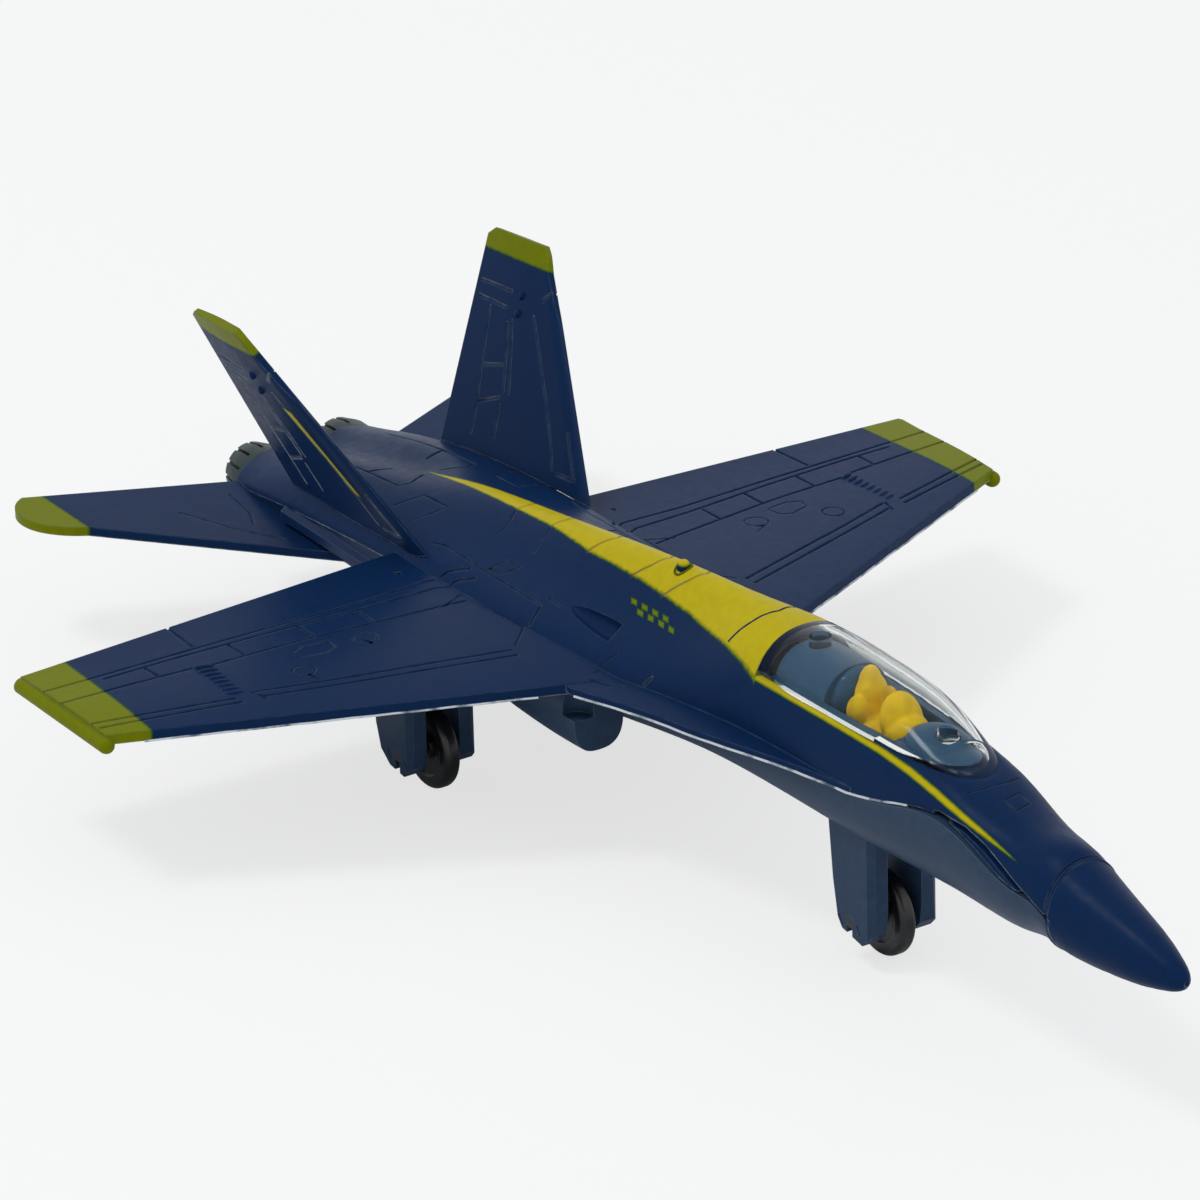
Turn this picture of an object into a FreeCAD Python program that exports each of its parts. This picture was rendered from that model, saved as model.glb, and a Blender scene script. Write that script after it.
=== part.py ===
import FreeCAD, Part

import math
import os

from FreeCAD import Vector

# A toy jet airplane: a cast upper shell on a moulded lower shell, with inserted
# fins, stabilators, nozzles and canopy, on three free-rolling wheels.
# Millimetres. +X is the nose, +Y the port side, +Z up; the wheels stand on Z = 0.
# Port pieces are drawn first, and starboard pieces are their mirror images.

# ------------------------------------------------------------------ whole model
NOSE_TIP_X = 90.0         # foremost point of the nose cone
TAIL_END_X = -91.6        # rearmost point of the stabilators
UPPER_WALL = 1.6          # cast metal
LOWER_WALL = 1.4          # moulded plastic
SEAM_GAP = 0.2            # line between the two shells
FIT = 0.05                # all round a tab, tongue, spigot or peg in its pocket
SEAT_GAP = 0.1            # between pieces laid face to face

# Body stations from the ring behind the nose cone to the exhausts:
# x, height of the seam, then of the upper half: half width, rise, height of the
# spine above it, half width of the spine, power of the arch; of the lower half:
# half width, drop, power of the belly.
STATIONS = (
    (72.0, 20.3, 4.8, 5.5, 0.0, 4.0, 2.0, 4.8, 4.8, 2.0),
    (66.0, 21.9, 5.1, 4.7, 0.0, 4.0, 2.1, 5.3, 6.7, 2.1),
    (60.0, 24.0, 5.3, 3.5, 0.0, 4.0, 2.3, 5.8, 9.2, 2.2),
    (54.0, 25.4, 5.6, 3.6, 0.0, 4.0, 2.6, 6.2, 10.5, 2.3),
    (48.0, 24.4, 6.1, 5.6, 0.0, 4.0, 2.8, 6.5, 9.5, 2.4),
    (42.0, 22.9, 6.6, 8.0, 0.0, 4.0, 2.8, 6.7, 8.1, 2.4),
    (32.0, 22.1, 7.0, 10.2, 0.0, 4.0, 2.7, 6.8, 7.5, 2.4),
    (20.0, 21.6, 7.5, 11.8, 0.0, 4.0, 2.5, 6.9, 7.2, 2.4),
    (8.0, 21.4, 9.2, 6.2, 5.5, 5.2, 2.0, 7.4, 7.7, 2.4),
    (-2.0, 21.3, 10.6, 4.3, 6.5, 5.0, 2.0, 9.0, 8.3, 2.6),
    (-14.0, 21.2, 11.8, 4.0, 5.3, 4.8, 2.0, 12.0, 8.7, 2.8),
    (-30.0, 20.8, 12.3, 4.2, 3.0, 4.6, 2.0, 12.4, 8.8, 2.8),
    (-45.0, 20.2, 12.4, 4.9, 0.8, 4.4, 1.9, 12.2, 8.4, 2.8),
    (-56.0, 19.4, 12.3, 5.3, -1.0, 3.6, 1.8, 12.0, 7.4, 2.7),
    (-66.0, 18.3, 12.0, 4.9, -1.4, 3.2, 1.9, 11.6, 6.2, 2.6),
    (-75.0, 16.8, 11.3, 4.3, -1.7, 3.0, 2.0, 11.1, 5.0, 2.4),
    (-81.0, 15.6, 10.6, 4.0, -1.9, 2.8, 2.1, 10.5, 4.3, 2.3),
)
LOOP_STEPS = 20           # points along each half loop
HOLLOW = slice(1, -1)     # stations that the hollow inside runs between

NOSE_TIP_Z = 19.0
NOSE_SHARES = (0.0, 0.25, 0.5, 0.72, 0.88, 0.96, 0.995)
NOSE_FULLNESS = 1.0       # higher is a fuller cone
NOSE_DROOP = 0.6          # lower brings the cone's axis down sooner
RING_GROOVE = 0.3         # half width and depth of the groove behind the cone

# ------------------------------------------------------------------------ wings
WING_SPAN = 121.2
WING_ROOT_Y = 12.0
WING_ROOT_Z = 21.05       # mid-plane of the wing beside the body
WING_TIP_Z = 17.9         # and at its tip
WING_ROOT_LE_X = -0.6
WING_TIP_LE_X = -27.0
WING_ROOT_TE_X = -43.1
WING_TIP_TE_X = -45.5
WING_THICK = 1.9
WING_TIP_THICK = 1.5
WING_EDGE = 1.2           # blunt leading edge
WING_TAIL = 0.7           # blunt trailing edge
RAIL_RADIUS = 0.95        # launcher rail along the tip
RAIL_NOSE_X = -26.6
RAIL_LENGTH = 18.8
RAIL_DROP = 0.7           # its axis below the wing's mid-plane

# Strake stations: x, reach from the centre line, height of its mid-plane.
STRAKE = (
    (-14.0, 14.0, 21.0),
    (-1.3, 15.4, 21.0),
    (4.0, 14.1, 21.4),
    (8.8, 13.0, 21.7),
    (17.9, 11.2, 22.0),
    (23.0, 9.8, 22.1),
    (28.3, 8.5, 22.3),
    (33.8, 7.4, 22.5),
    (39.8, 6.8, 22.9),
)
STRAKE_EDGE = 0.4         # half its blunt edge
STRAKE_ROOT = 1.0         # rise of its upper face beside the body
STRAKE_ROOT_Y = 4.0

# ------------------------------------------------------------------ tail pieces
FIN_CANT = 24.0           # degrees outward from the vertical
FIN_ROOT_Y = 10.6
FIN_ROOT_Z = 21.6
FIN_HEIGHT = 24.8         # along the fin, from its root
FIN_ROOT_LE_X = -36.4
FIN_ROOT_TE_X = -68.2
FIN_TIP_LE_X = -59.5
FIN_TIP_TE_X = -72.3
FIN_THICK = 1.7
FIN_TIP_THICK = 1.1
FIN_REACH = 4.5           # blade carried below its root, down to the deck
FIN_TIP_SLOPE = 0.6       # the tip's ends above and below its middle
FIN_TIP_ROUND = 1.5
FIN_TAB_LENGTH = 14.0
FIN_TAB_THICK = 1.2
FIN_TAB_DEPTH = 2.8
SOCKET_WALL = 1.2         # round the fins' tabs and the stabilators' tongues

STAB_Z = 15.7
STAB_THICK = 1.1
STAB_ROOT_Y = 9.0
STAB_ROOT_LE_X = -53.4
STAB_ROOT_TE_X = -80.0
STAB_TIP = ((-79.8, 31.4), (-82.1, 34.2), (-85.2, 35.9), (-88.9, 35.8), (-91.6, 33.4))
STAB_TONGUE_X = -67.0     # middle of the tongue
STAB_TONGUE_LENGTH = 10.0
STAB_TONGUE_DEPTH = 4.0

SHELF_X0 = -67.0          # swelling of the side under each fin
SHELF_X1 = -40.0
SHELF_Y = 12.8
SHELF_BOTTOM_Z = 16.5
SHELF_TOP_Z = 19.0

NOZZLE_Y = 6.0
NOZZLE_Z = 15.0
NOZZLE_RADIUS = 3.8
NOZZLE_LENGTH = 4.5
NOZZLE_TAPER = 0.86
NOZZLE_WALL = 0.7
NOZZLE_PETALS = 12
PETAL_GROOVE = 0.4
SPIGOT_RADIUS = 2.8
SPIGOT_LENGTH = 4.0

# ---------------------------------------------------------------- air intakes
# Stations of a nacelle: x, y of its middle, half width, z of its middle, half height.
NACELLE = (
    (-1.2, 11.9, 3.2, 16.9, 3.9),
    (-8.0, 11.7, 3.4, 16.7, 4.0),
    (-18.0, 11.0, 3.6, 16.5, 4.0),
    (-34.0, 9.6, 3.6, 16.4, 4.0),
)
NACELLE_TOP_Z = 19.8
NACELLE_POWER = 2.6
SCOOP_RADIUS = 2.0        # round recess in the mouth's upper outer corner
SCOOP_DEPTH = 2.6

# ------------------------------------------------------------------------ gear
WHEEL_RADIUS = 5.0
WHEEL_WIDTH = 2.0
WHEEL_CREST = 0.7         # rounding of the tread's edges
WHEEL_DISH_RADIUS = 3.4
WHEEL_HUB_RADIUS = 1.5
WHEEL_DISH = 0.3
AXLE_RADIUS = 0.75
AXLE_RUNNING = 0.06       # clearance of the wheel on its axle
AXLE_SEAT = 0.01          # clearance of the axle in its legs
NOSE_GEAR_X = 36.0
MAIN_GEAR_X = -27.2
MAIN_GEAR_Y = 17.8
LEG_GAP = 4.4             # between the inner faces of a pair of legs
LEG_THICK = 2.3
LEG_CHAMFER = 0.7
LEG_SLOT = 1.0            # snap-in slot below the axle
LEG_TOP_Z = 19.0
# Side outline of a leg below its top, from its axle: x, z.
NOSE_LEG = ((-4.0, LEG_TOP_Z), (-3.0, 9.2), (-2.2, 4.8), (-1.4, 3.7), (2.4, 3.0), (3.6, 4.3), (4.0, 7.0), (4.0, LEG_TOP_Z))
MAIN_LEG = ((-4.6, LEG_TOP_Z), (-4.3, 7.6), (-3.4, 4.6), (-1.6, 3.2), (1.4, 2.8), (2.4, 4.0), (2.7, 6.5), (2.7, LEG_TOP_Z))
PAD_BACK = 5.2            # the pad above a main leg, behind and ahead of its axle
PAD_FRONT = 3.6
PAD_Z0 = 16.2
PAD_Z1 = 19.3

# --------------------------------------------------------------------- cockpit
# Canopy stations: x, half width, height of its top.
CANOPY = (
    (21.7, 6.05, 33.7),
    (26.0, 6.05, 33.95),
    (32.0, 5.95, 34.0),
    (38.0, 5.75, 33.9),
    (42.3, 5.5, 33.4),
    (46.0, 5.05, 32.45),
    (49.5, 4.4, 31.1),
    (52.8, 3.3, 29.8),
    (54.4, 2.1, 29.1),
    (55.1, 1.1, 28.75),
)
CANOPY_BASE_Z = 28.2      # where its sections are widest, below the sill
CANOPY_POWER = 2.2
CANOPY_WALL = 0.8
CANOPY_OPEN = 7           # stations from the rear that the hollow reaches through
SILL_Z = 29.3
STEP_X = 42.3             # the sill steps up here, then runs down to the front
STEP_RISE = 0.35
SILL_FRONT_Z = 28.7
SILL_FRONT_X = 55.6
OPENING_INSET = 1.0       # opening inside the canopy's edge
PEG_RADIUS = 1.2
PEG_XS = (24.8, 48.2)
PEG_FOOT_Z = 27.4
TUB_WALL = 0.9
TUB_FLOOR_Z = 26.6
TUB_PIT = (31.4, 43.4)    # rear and front of the pit
TUB_FRONT_X = 51.5
HUMP_INSET = 1.7          # deck behind the pit, inside the canopy
DASH_INSET = 2.2          # dash ahead of the pit
DASH_FRONT_X = 48.2       # ahead of this the rim runs down with the sill
PILOT_X = 36.0

# ------------------------------------------------------------------- fasteners
SCREW_XS = (14.0, -44.0)
SCREW_RADIUS = 1.0
SCREW_LENGTH = 9.0
SCREW_HEAD_RADIUS = 2.0
SCREW_HEAD_HEIGHT = 1.3
SCREW_RECESS = 2.0        # seat of the head above the belly
CROSS_WIDTH = 0.5
CROSS_DEPTH = 0.6
BOSS_HEIGHT = 4.4         # boss of the lower shell, above the belly
POST_RADIUS = 2.6
BOSS_RADIUS = 3.2

BODY_END_X = STATIONS[-1][0]
RING_X = STATIONS[0][0]
CENTRING = Vector(-(NOSE_TIP_X + TAIL_END_X) / 2.0, 0, 0)


# --------------------------------------------------------------------- helpers
def lerp(a, b, t):
    return a + (b - a) * t


def signed_power(value, power):
    return math.copysign(abs(value) ** power, value)


def line(a, b):
    return Part.LineSegment(a, b).toShape()


def spline(points, closed=False):
    curve = Part.BSplineCurve()
    curve.interpolate(Points=points, PeriodicFlag=closed)
    return curve.toShape()


def outline(points):
    """A closed wire of straight edges."""
    return Part.makePolygon(list(points) + [points[0]])


def prism(points, along):
    return Part.Face(outline(points)).extrude(along)


def box(x0, x1, y0, y1, z0, z1):
    return Part.makeBox(x1 - x0, y1 - y0, z1 - z0, Vector(x0, y0, z0))


def rod(radius, start, along):
    return Part.makeCylinder(radius, along.Length, start, along)


def mirrored(shape):
    return shape.mirror(Vector(0, 0, 0), Vector(0, 1, 0))


def both_sides(shape):
    return [shape, mirrored(shape)]


# ---------------------------------------------------------------- fuselage loops
def half_loop(x, seam, width, height, power, side, skirt, crown=None):
    """Half of a body section: an arch from edge to edge of the seam line.

    side is +1 for the upper half and -1 for the lower one; skirt carries both
    ends straight past the seam, and crown adds the spine.
    """
    arch = []
    for i in range(LOOP_STEPS + 1):
        angle = math.pi * i / LOOP_STEPS
        y = width * signed_power(math.cos(angle), 2.0 / power)
        z = height * math.sin(angle) ** (2.0 / power)
        if crown:
            z += crown(y) * math.sin(angle)
        arch.append(Vector(x, y, seam + side * z))
    if not skirt:
        return Part.Wire([spline(arch), line(arch[-1], arch[0])])
    down = Vector(0, 0, -side * skirt)
    foot = [arch[-1] + down, arch[0] + down]
    return Part.Wire([spline(arch), line(arch[-1], foot[0]), line(foot[0], foot[1]), line(foot[1], arch[0])])


def upper_body(inset=0.0, skirt=0.0, which=slice(None)):
    loops = []
    for x, seam, width, rise, ridge, spread, power, *lower in STATIONS[which]:
        def crown(y, ridge=ridge, spread=spread):
            return ridge * math.exp(-((y / spread) ** 2))
        loops.append(half_loop(x, seam, width - inset, rise - inset, power, 1, skirt, crown))
    return Part.makeLoft(loops, True, False)


def lower_body(inset=0.0, skirt=0.0, which=slice(None)):
    loops = []
    for station in STATIONS[which]:
        x, seam = station[:2]
        width, drop, power = station[7:]
        loops.append(half_loop(x, seam - SEAM_GAP, width - inset, drop - SEAM_GAP - inset, power, -1, skirt))
    return Part.makeLoft(loops, True, False)


def at_station(x, column):
    """A column of the station table at x, between its rows."""
    for front, rear in zip(STATIONS, STATIONS[1:]):
        if rear[0] <= x <= front[0]:
            return lerp(front[column], rear[column], (front[0] - x) / (front[0] - rear[0]))
    return STATIONS[-1][column]


def belly_z(x):
    return at_station(x, 1) - at_station(x, 8)


def nose_cone():
    """The solid cone ahead of the ring, with its axis drooping to the tip."""
    seam, width, rise = STATIONS[0][1:4]
    drop = STATIONS[0][8]
    loops = []
    for share in NOSE_SHARES:
        size = math.sqrt(1.0 - share ** NOSE_FULLNESS)
        x = lerp(RING_X, NOSE_TIP_X, share)
        z = lerp(seam + (rise - drop) / 2.0, NOSE_TIP_Z, share ** NOSE_DROOP)
        points = []
        for i in range(LOOP_STEPS):
            angle = 2.0 * math.pi * i / LOOP_STEPS
            y = width * size * math.cos(angle)
            points.append(Vector(x, y, z + (rise + drop) / 2.0 * size * math.sin(angle)))
        loops.append(Part.Wire([spline(points, True)]))
    return Part.makeLoft(loops, True, False)


def ring_groove():
    seam, width, rise = STATIONS[0][1:4]
    drop = STATIONS[0][8]
    rings = []
    for inset in (-1.0, RING_GROOVE):
        ellipse = Part.Ellipse(Vector(0, 0, 0), (rise + drop) / 2.0 - inset, width - inset).toShape()
        ellipse.rotate(Vector(0, 0, 0), Vector(0, 1, 0), 90)
        ellipse.translate(Vector(RING_X - RING_GROOVE, 0, seam + (rise - drop) / 2.0))
        rings.append(Part.Face(Part.Wire([ellipse])).extrude(Vector(2 * RING_GROOVE, 0, 0)))
    return rings[0].cut(rings[1])


# --------------------------------------------------------------- flying surfaces
def wing_at(y):
    """Leading edge x, trailing edge x, mid-plane z and share of the half span."""
    share = (y - WING_ROOT_Y) / (WING_SPAN / 2.0 - WING_ROOT_Y)
    front = lerp(WING_ROOT_LE_X, WING_TIP_LE_X, share)
    rear = lerp(WING_ROOT_TE_X, WING_TIP_TE_X, share)
    return front, rear, lerp(WING_ROOT_Z, WING_TIP_Z, share), share


def wing_loop(y):
    front, rear, z, share = wing_at(y)
    half = lerp(WING_THICK, WING_TIP_THICK, share) / 2.0
    edge = WING_EDGE / 2.0
    profile = ((0.0, edge), (0.12, lerp(edge, half, 0.8)), (0.4, half), (1.0, WING_TAIL / 2.0))
    top = [Vector(lerp(front, rear, s), y, z + h) for s, h in profile]
    bottom = [Vector(lerp(front, rear, s), y, z - h) for s, h in profile]
    return Part.Wire([spline(top), line(top[-1], bottom[-1]), spline(bottom[::-1]), line(bottom[0], top[0])])


def wing():
    """A wing with its launcher rail, carried a little way into the body."""
    tip_y = WING_SPAN / 2.0 - RAIL_RADIUS
    blade = Part.makeLoft([wing_loop(WING_ROOT_Y - 4.0), wing_loop(tip_y)], True, True)
    nose = Vector(RAIL_NOSE_X, tip_y, wing_at(tip_y)[2] - RAIL_DROP)
    rail = rod(RAIL_RADIUS, nose, Vector(-RAIL_LENGTH, 0, 0))
    return blade.fuse([rail, Part.makeSphere(RAIL_RADIUS, nose)])


def strake():
    """The thin extension of the wing's root, forward along the body."""
    loops = []
    for x, reach, z in STRAKE:
        corners = ((reach, -STRAKE_EDGE), (reach, STRAKE_EDGE), (STRAKE_ROOT_Y, STRAKE_ROOT),
                   (0.0, STRAKE_ROOT), (0.0, -STRAKE_EDGE))
        loops.append(outline([Vector(x, y, z + h) for y, h in corners]))
    return Part.makeLoft(loops, True, True)


def fin_loop(height, front, rear, half):
    """A lens-shaped section of the upright fin."""
    profile = ((0.0, 0.0), (0.03, 0.5), (0.15, 0.9), (0.4, 1.0), (0.8, 0.7), (1.0, 0.35))
    port = [Vector(lerp(front, rear, s), h * half, height) for s, h in profile]
    starboard = [Vector(p.x, -p.y, p.z) for p in port]
    return Part.Wire([spline(port), line(port[-1], starboard[-1]), spline(starboard[::-1])])


def fin_tab(clearance=0.0):
    middle = (FIN_ROOT_LE_X + FIN_ROOT_TE_X) / 2.0
    half = FIN_TAB_LENGTH / 2.0 + clearance
    thick = FIN_TAB_THICK / 2.0 + clearance
    return box(middle - half, middle + half, -thick, thick, -FIN_TAB_DEPTH - clearance, 1.0)


def fin_placed(shape):
    """Cant an upright shape outward and set it on the port side of the deck."""
    shape.rotate(Vector(0, 0, 0), Vector(1, 0, 0), -FIN_CANT)
    shape.translate(Vector(0, FIN_ROOT_Y, FIN_ROOT_Z))
    return shape


def fin_blade():
    sweep = (FIN_TIP_LE_X - FIN_ROOT_LE_X) / FIN_HEIGHT
    rake = (FIN_TIP_TE_X - FIN_ROOT_TE_X) / FIN_HEIGHT
    over = 2.0 * FIN_TIP_SLOPE
    foot_x = FIN_ROOT_LE_X - sweep * FIN_REACH
    blade = Part.makeLoft([
        fin_loop(-FIN_REACH, foot_x, FIN_ROOT_TE_X - rake * FIN_REACH, FIN_THICK / 2.0),
        fin_loop(FIN_HEIGHT + over, FIN_TIP_LE_X + sweep * over, FIN_TIP_TE_X + rake * over, FIN_TIP_THICK / 2.0),
    ], True, True)
    rear = FIN_TIP_TE_X - 2.0
    side = [(foot_x, -FIN_REACH), (rear, -FIN_REACH), (rear, FIN_HEIGHT - FIN_TIP_ROUND - 1.0),
            (FIN_TIP_TE_X + 0.1, FIN_HEIGHT - FIN_TIP_ROUND), (FIN_TIP_TE_X + FIN_TIP_ROUND, FIN_HEIGHT - FIN_TIP_SLOPE / 2.0),
            (FIN_TIP_LE_X - FIN_TIP_ROUND, FIN_HEIGHT + FIN_TIP_SLOPE), (FIN_TIP_LE_X - 0.2, FIN_HEIGHT - 0.2),
            (FIN_TIP_LE_X + 1.0, FIN_HEIGHT - 2.0), (FIN_TIP_LE_X + 4.0, FIN_HEIGHT - 5.0), (foot_x, 0.0)]
    keep = prism([Vector(x, -FIN_THICK, z) for x, z in side], Vector(0, 2.0 * FIN_THICK, 0))
    return blade.common(keep)


def fin():
    blade = fin_placed(fin_blade()).cut(upper_body(-SEAT_GAP))
    blade = max(blade.Solids, key=lambda solid: solid.Volume)
    return blade.fuse(fin_placed(fin_tab())).removeSplitter()


def stabilator(clearance=0.0):
    z = STAB_Z - STAB_THICK / 2.0 - clearance
    tip = [Vector(x, y, z) for x, y in STAB_TIP]
    front = Vector(STAB_ROOT_LE_X + clearance, STAB_ROOT_Y - clearance, z)
    rear = Vector(STAB_ROOT_TE_X - clearance, STAB_ROOT_Y - clearance, z)
    rim = Part.Wire([line(front, tip[0]), spline(tip), line(tip[-1], rear), line(rear, front)])
    thick = STAB_THICK + 2.0 * clearance
    plate = Part.Face(rim).extrude(Vector(0, 0, thick))
    half = STAB_TONGUE_LENGTH / 2.0 + clearance
    tongue = box(STAB_TONGUE_X - half, STAB_TONGUE_X + half, STAB_ROOT_Y - STAB_TONGUE_DEPTH - clearance,
                 STAB_ROOT_Y + 1.0, z, z + thick)
    return plate.fuse(tongue).removeSplitter()


def nozzle_axis(x):
    return Vector(x, NOZZLE_Y, NOZZLE_Z)


def nozzle():
    """A tapered ring of petals on a spigot, open to the rear."""
    rim = NOZZLE_RADIUS * NOZZLE_TAPER
    back = 0.25 * NOZZLE_LENGTH
    profile = [(0, 0), (0, NOZZLE_RADIUS), (2 * back, NOZZLE_RADIUS), (NOZZLE_LENGTH, rim),
               (NOZZLE_LENGTH, rim - NOZZLE_WALL), (back, NOZZLE_RADIUS - 1.5 * NOZZLE_WALL), (back, 0)]
    face = Part.Face(outline([Vector(x, y, 0) for x, y in profile]))
    ring = face.revolve(Vector(0, 0, 0), Vector(1, 0, 0), 360)
    grooves = []
    for i in range(NOZZLE_PETALS):
        groove = box(back, NOZZLE_LENGTH + 1, -PETAL_GROOVE / 2, PETAL_GROOVE / 2, rim - 0.25, NOZZLE_RADIUS + 1)
        groove.rotate(Vector(0, 0, 0), Vector(1, 0, 0), 360.0 * i / NOZZLE_PETALS)
        grooves.append(groove)
    ring = ring.cut(grooves)
    ring = ring.fuse(rod(SPIGOT_RADIUS, Vector(back / 2, 0, 0), Vector(-SPIGOT_LENGTH - back / 2, 0, 0)))
    ring.rotate(Vector(0, 0, 0), Vector(0, 0, 1), 180)
    ring.translate(nozzle_axis(BODY_END_X - SEAT_GAP))
    return ring


def nozzle_socket():
    start = nozzle_axis(BODY_END_X - 1.0)
    return rod(SPIGOT_RADIUS + FIT, start, Vector(SPIGOT_LENGTH + 1.0 + SEAT_GAP, 0, 0))


# ------------------------------------------------------------------ running gear
def leg(gear_x, inner_y, side, profile):
    """A gear leg: its inner face at inner_y, its outer front edge bevelled."""
    along = Vector(0, side * LEG_THICK, 0)
    body = prism([Vector(gear_x + x, inner_y, z) for x, z in profile], along)
    front = gear_x + profile[-1][0]
    outer = inner_y + side * LEG_THICK
    corner = [Vector(front + 1, outer + side, 0), Vector(front - LEG_CHAMFER - 1, outer + side, 0),
              Vector(front + 1, outer - side * (LEG_CHAMFER + 1), 0)]
    return body.cut(prism(corner, Vector(0, 0, LEG_TOP_Z + 1)))


def leg_pair(gear_x, gear_y, profile):
    half = LEG_GAP / 2.0
    legs = leg(gear_x, gear_y + half, 1, profile).fuse(leg(gear_x, gear_y - half, -1, profile))
    reach = half + LEG_THICK
    slot = box(gear_x - LEG_SLOT / 2, gear_x + LEG_SLOT / 2, gear_y - reach, gear_y + reach, 0, WHEEL_RADIUS)
    return legs.cut([slot, axle(gear_x, gear_y, AXLE_SEAT)])


def axle(gear_x, gear_y, clearance=0.0):
    reach = LEG_GAP / 2.0 + LEG_THICK
    return rod(AXLE_RADIUS + clearance, Vector(gear_x, gear_y - reach, WHEEL_RADIUS), Vector(0, 2.0 * reach, 0))


def wheel(gear_x, gear_y):
    half = WHEEL_WIDTH / 2.0
    disc = rod(WHEEL_RADIUS, Vector(0, -half, 0), Vector(0, WHEEL_WIDTH, 0))
    crests = [edge for edge in disc.Edges if edge.Length > 6.0 * WHEEL_RADIUS]
    disc = disc.makeFillet(WHEEL_CREST, crests)
    for side in (-1, 1):
        face = Vector(0, side * half, 0)
        inward = Vector(0, -side * WHEEL_DISH, 0)
        disc = disc.cut(rod(WHEEL_DISH_RADIUS, face, inward).cut(rod(WHEEL_HUB_RADIUS, face, inward)))
    disc = disc.cut(rod(AXLE_RADIUS + AXLE_RUNNING, Vector(0, -WHEEL_WIDTH, 0), Vector(0, 2 * WHEEL_WIDTH, 0)))
    disc.translate(Vector(gear_x, gear_y, WHEEL_RADIUS))
    return disc


# ----------------------------------------------------------------------- cockpit
def above_sill(gap=0.0):
    """Everything above the cockpit's stepped edge, and a gap below and behind it."""
    top = SILL_Z + 20
    rear = CANOPY[0][0] - gap
    front = SILL_FRONT_X + gap
    side = [(rear, SILL_Z - gap), (STEP_X, SILL_Z - gap), (STEP_X, SILL_Z + STEP_RISE - gap),
            (front, SILL_FRONT_Z - gap), (front, top), (rear, top)]
    return prism([Vector(x, -10, z) for x, z in side], Vector(0, 20, 0))


def dome(inset=0.0, count=len(CANOPY)):
    loops = []
    for x, half, top in CANOPY[:count]:
        height = top - CANOPY_BASE_Z - inset
        loops.append(half_loop(x, CANOPY_BASE_Z, half - inset, height, CANOPY_POWER, 1, 1.0))
    return Part.makeLoft(loops, True, False)


def canopy():
    """A clear hood, open below and behind, with two locating pegs."""
    shell = dome().cut(dome(CANOPY_WALL, CANOPY_OPEN)).common(above_sill())
    for x in PEG_XS:
        peg = rod(PEG_RADIUS, Vector(x, 0, PEG_FOOT_Z), Vector(0, 0, 10)).common(dome(CANOPY_WALL / 2.0))
        shell = shell.fuse(peg)
    return shell


def opening(inset, z0, z1):
    """The cockpit's opening seen from above, as an upright prism."""
    rows = [[x, half - inset] for x, half, top in CANOPY if x < TUB_FRONT_X]
    rows[0][0] += inset
    rows.append([TUB_FRONT_X - inset, rows[-1][1] - inset])
    near = [Vector(x, -half, z0) for x, half in rows]
    far = [Vector(x, half, z0) for x, half in rows[::-1]]
    return prism(near + far, Vector(0, 0, z1 - z0))


def cockpit_tub():
    inset = OPENING_INSET + FIT
    rim_z = SILL_Z - SEAT_GAP
    tub = opening(inset, TUB_FLOOR_Z - TUB_WALL, rim_z)
    pit = opening(inset + TUB_WALL, TUB_FLOOR_Z, rim_z + 1)
    pit = pit.common(box(TUB_PIT[0], TUB_PIT[1], -10, 10, TUB_FLOOR_Z, rim_z + 1))
    deck = dome(HUMP_INSET, CANOPY_OPEN).common(opening(inset, rim_z - 0.5, rim_z + 9))
    deck = deck.cut(box(TUB_PIT[0], TUB_FRONT_X, -10, 10, 0, 99))
    dash = dome(DASH_INSET, CANOPY_OPEN).common(opening(inset, rim_z - 0.5, rim_z + 9))
    dash = dash.cut(box(0, TUB_PIT[1], -10, 10, 0, 99))
    tub = tub.cut(pit).fuse([deck, dash])
    front = box(DASH_FRONT_X, SILL_FRONT_X, -10, 10, TUB_FLOOR_Z, SILL_Z + 9)
    tub = tub.cut(above_sill(SEAT_GAP).common(front))
    holes = [rod(PEG_RADIUS + FIT, Vector(x, 0, PEG_FOOT_Z - FIT), Vector(0, 0, 10)) for x in PEG_XS]
    return tub.cut(holes).removeSplitter()


def pilot():
    """A plain seated figure and the panel in front of it, moulded as one."""
    floor = TUB_FLOOR_Z
    torso = box(PILOT_X - 2.2, PILOT_X + 1.8, -2.5, 2.5, floor, 31.0)
    torso = torso.makeFillet(0.8, [e for e in torso.Edges if e.BoundBox.ZMax > floor + 0.1])
    head = Part.makeSphere(1.4, Vector(PILOT_X - 0.2, 0, 31.4))
    neck = rod(1.25, Vector(PILOT_X - 0.2, 0, 30.0), Vector(0, 0, 1.4))
    panel = Part.makeLoft([
        outline([Vector(PILOT_X + 2.4, y, z) for y, z in ((-2.6, floor), (2.6, floor), (1.3, 31.6), (-1.3, 31.6))]),
        outline([Vector(PILOT_X + 5.4, y, z) for y, z in ((-2.5, floor), (2.5, floor), (1.1, 30.2), (-1.1, 30.2))]),
    ], True, True)
    lap = box(PILOT_X, PILOT_X + 3.0, -2.3, 2.3, floor, 28.8)
    return torso.fuse([head, neck, panel, lap]).removeSplitter()


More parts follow.
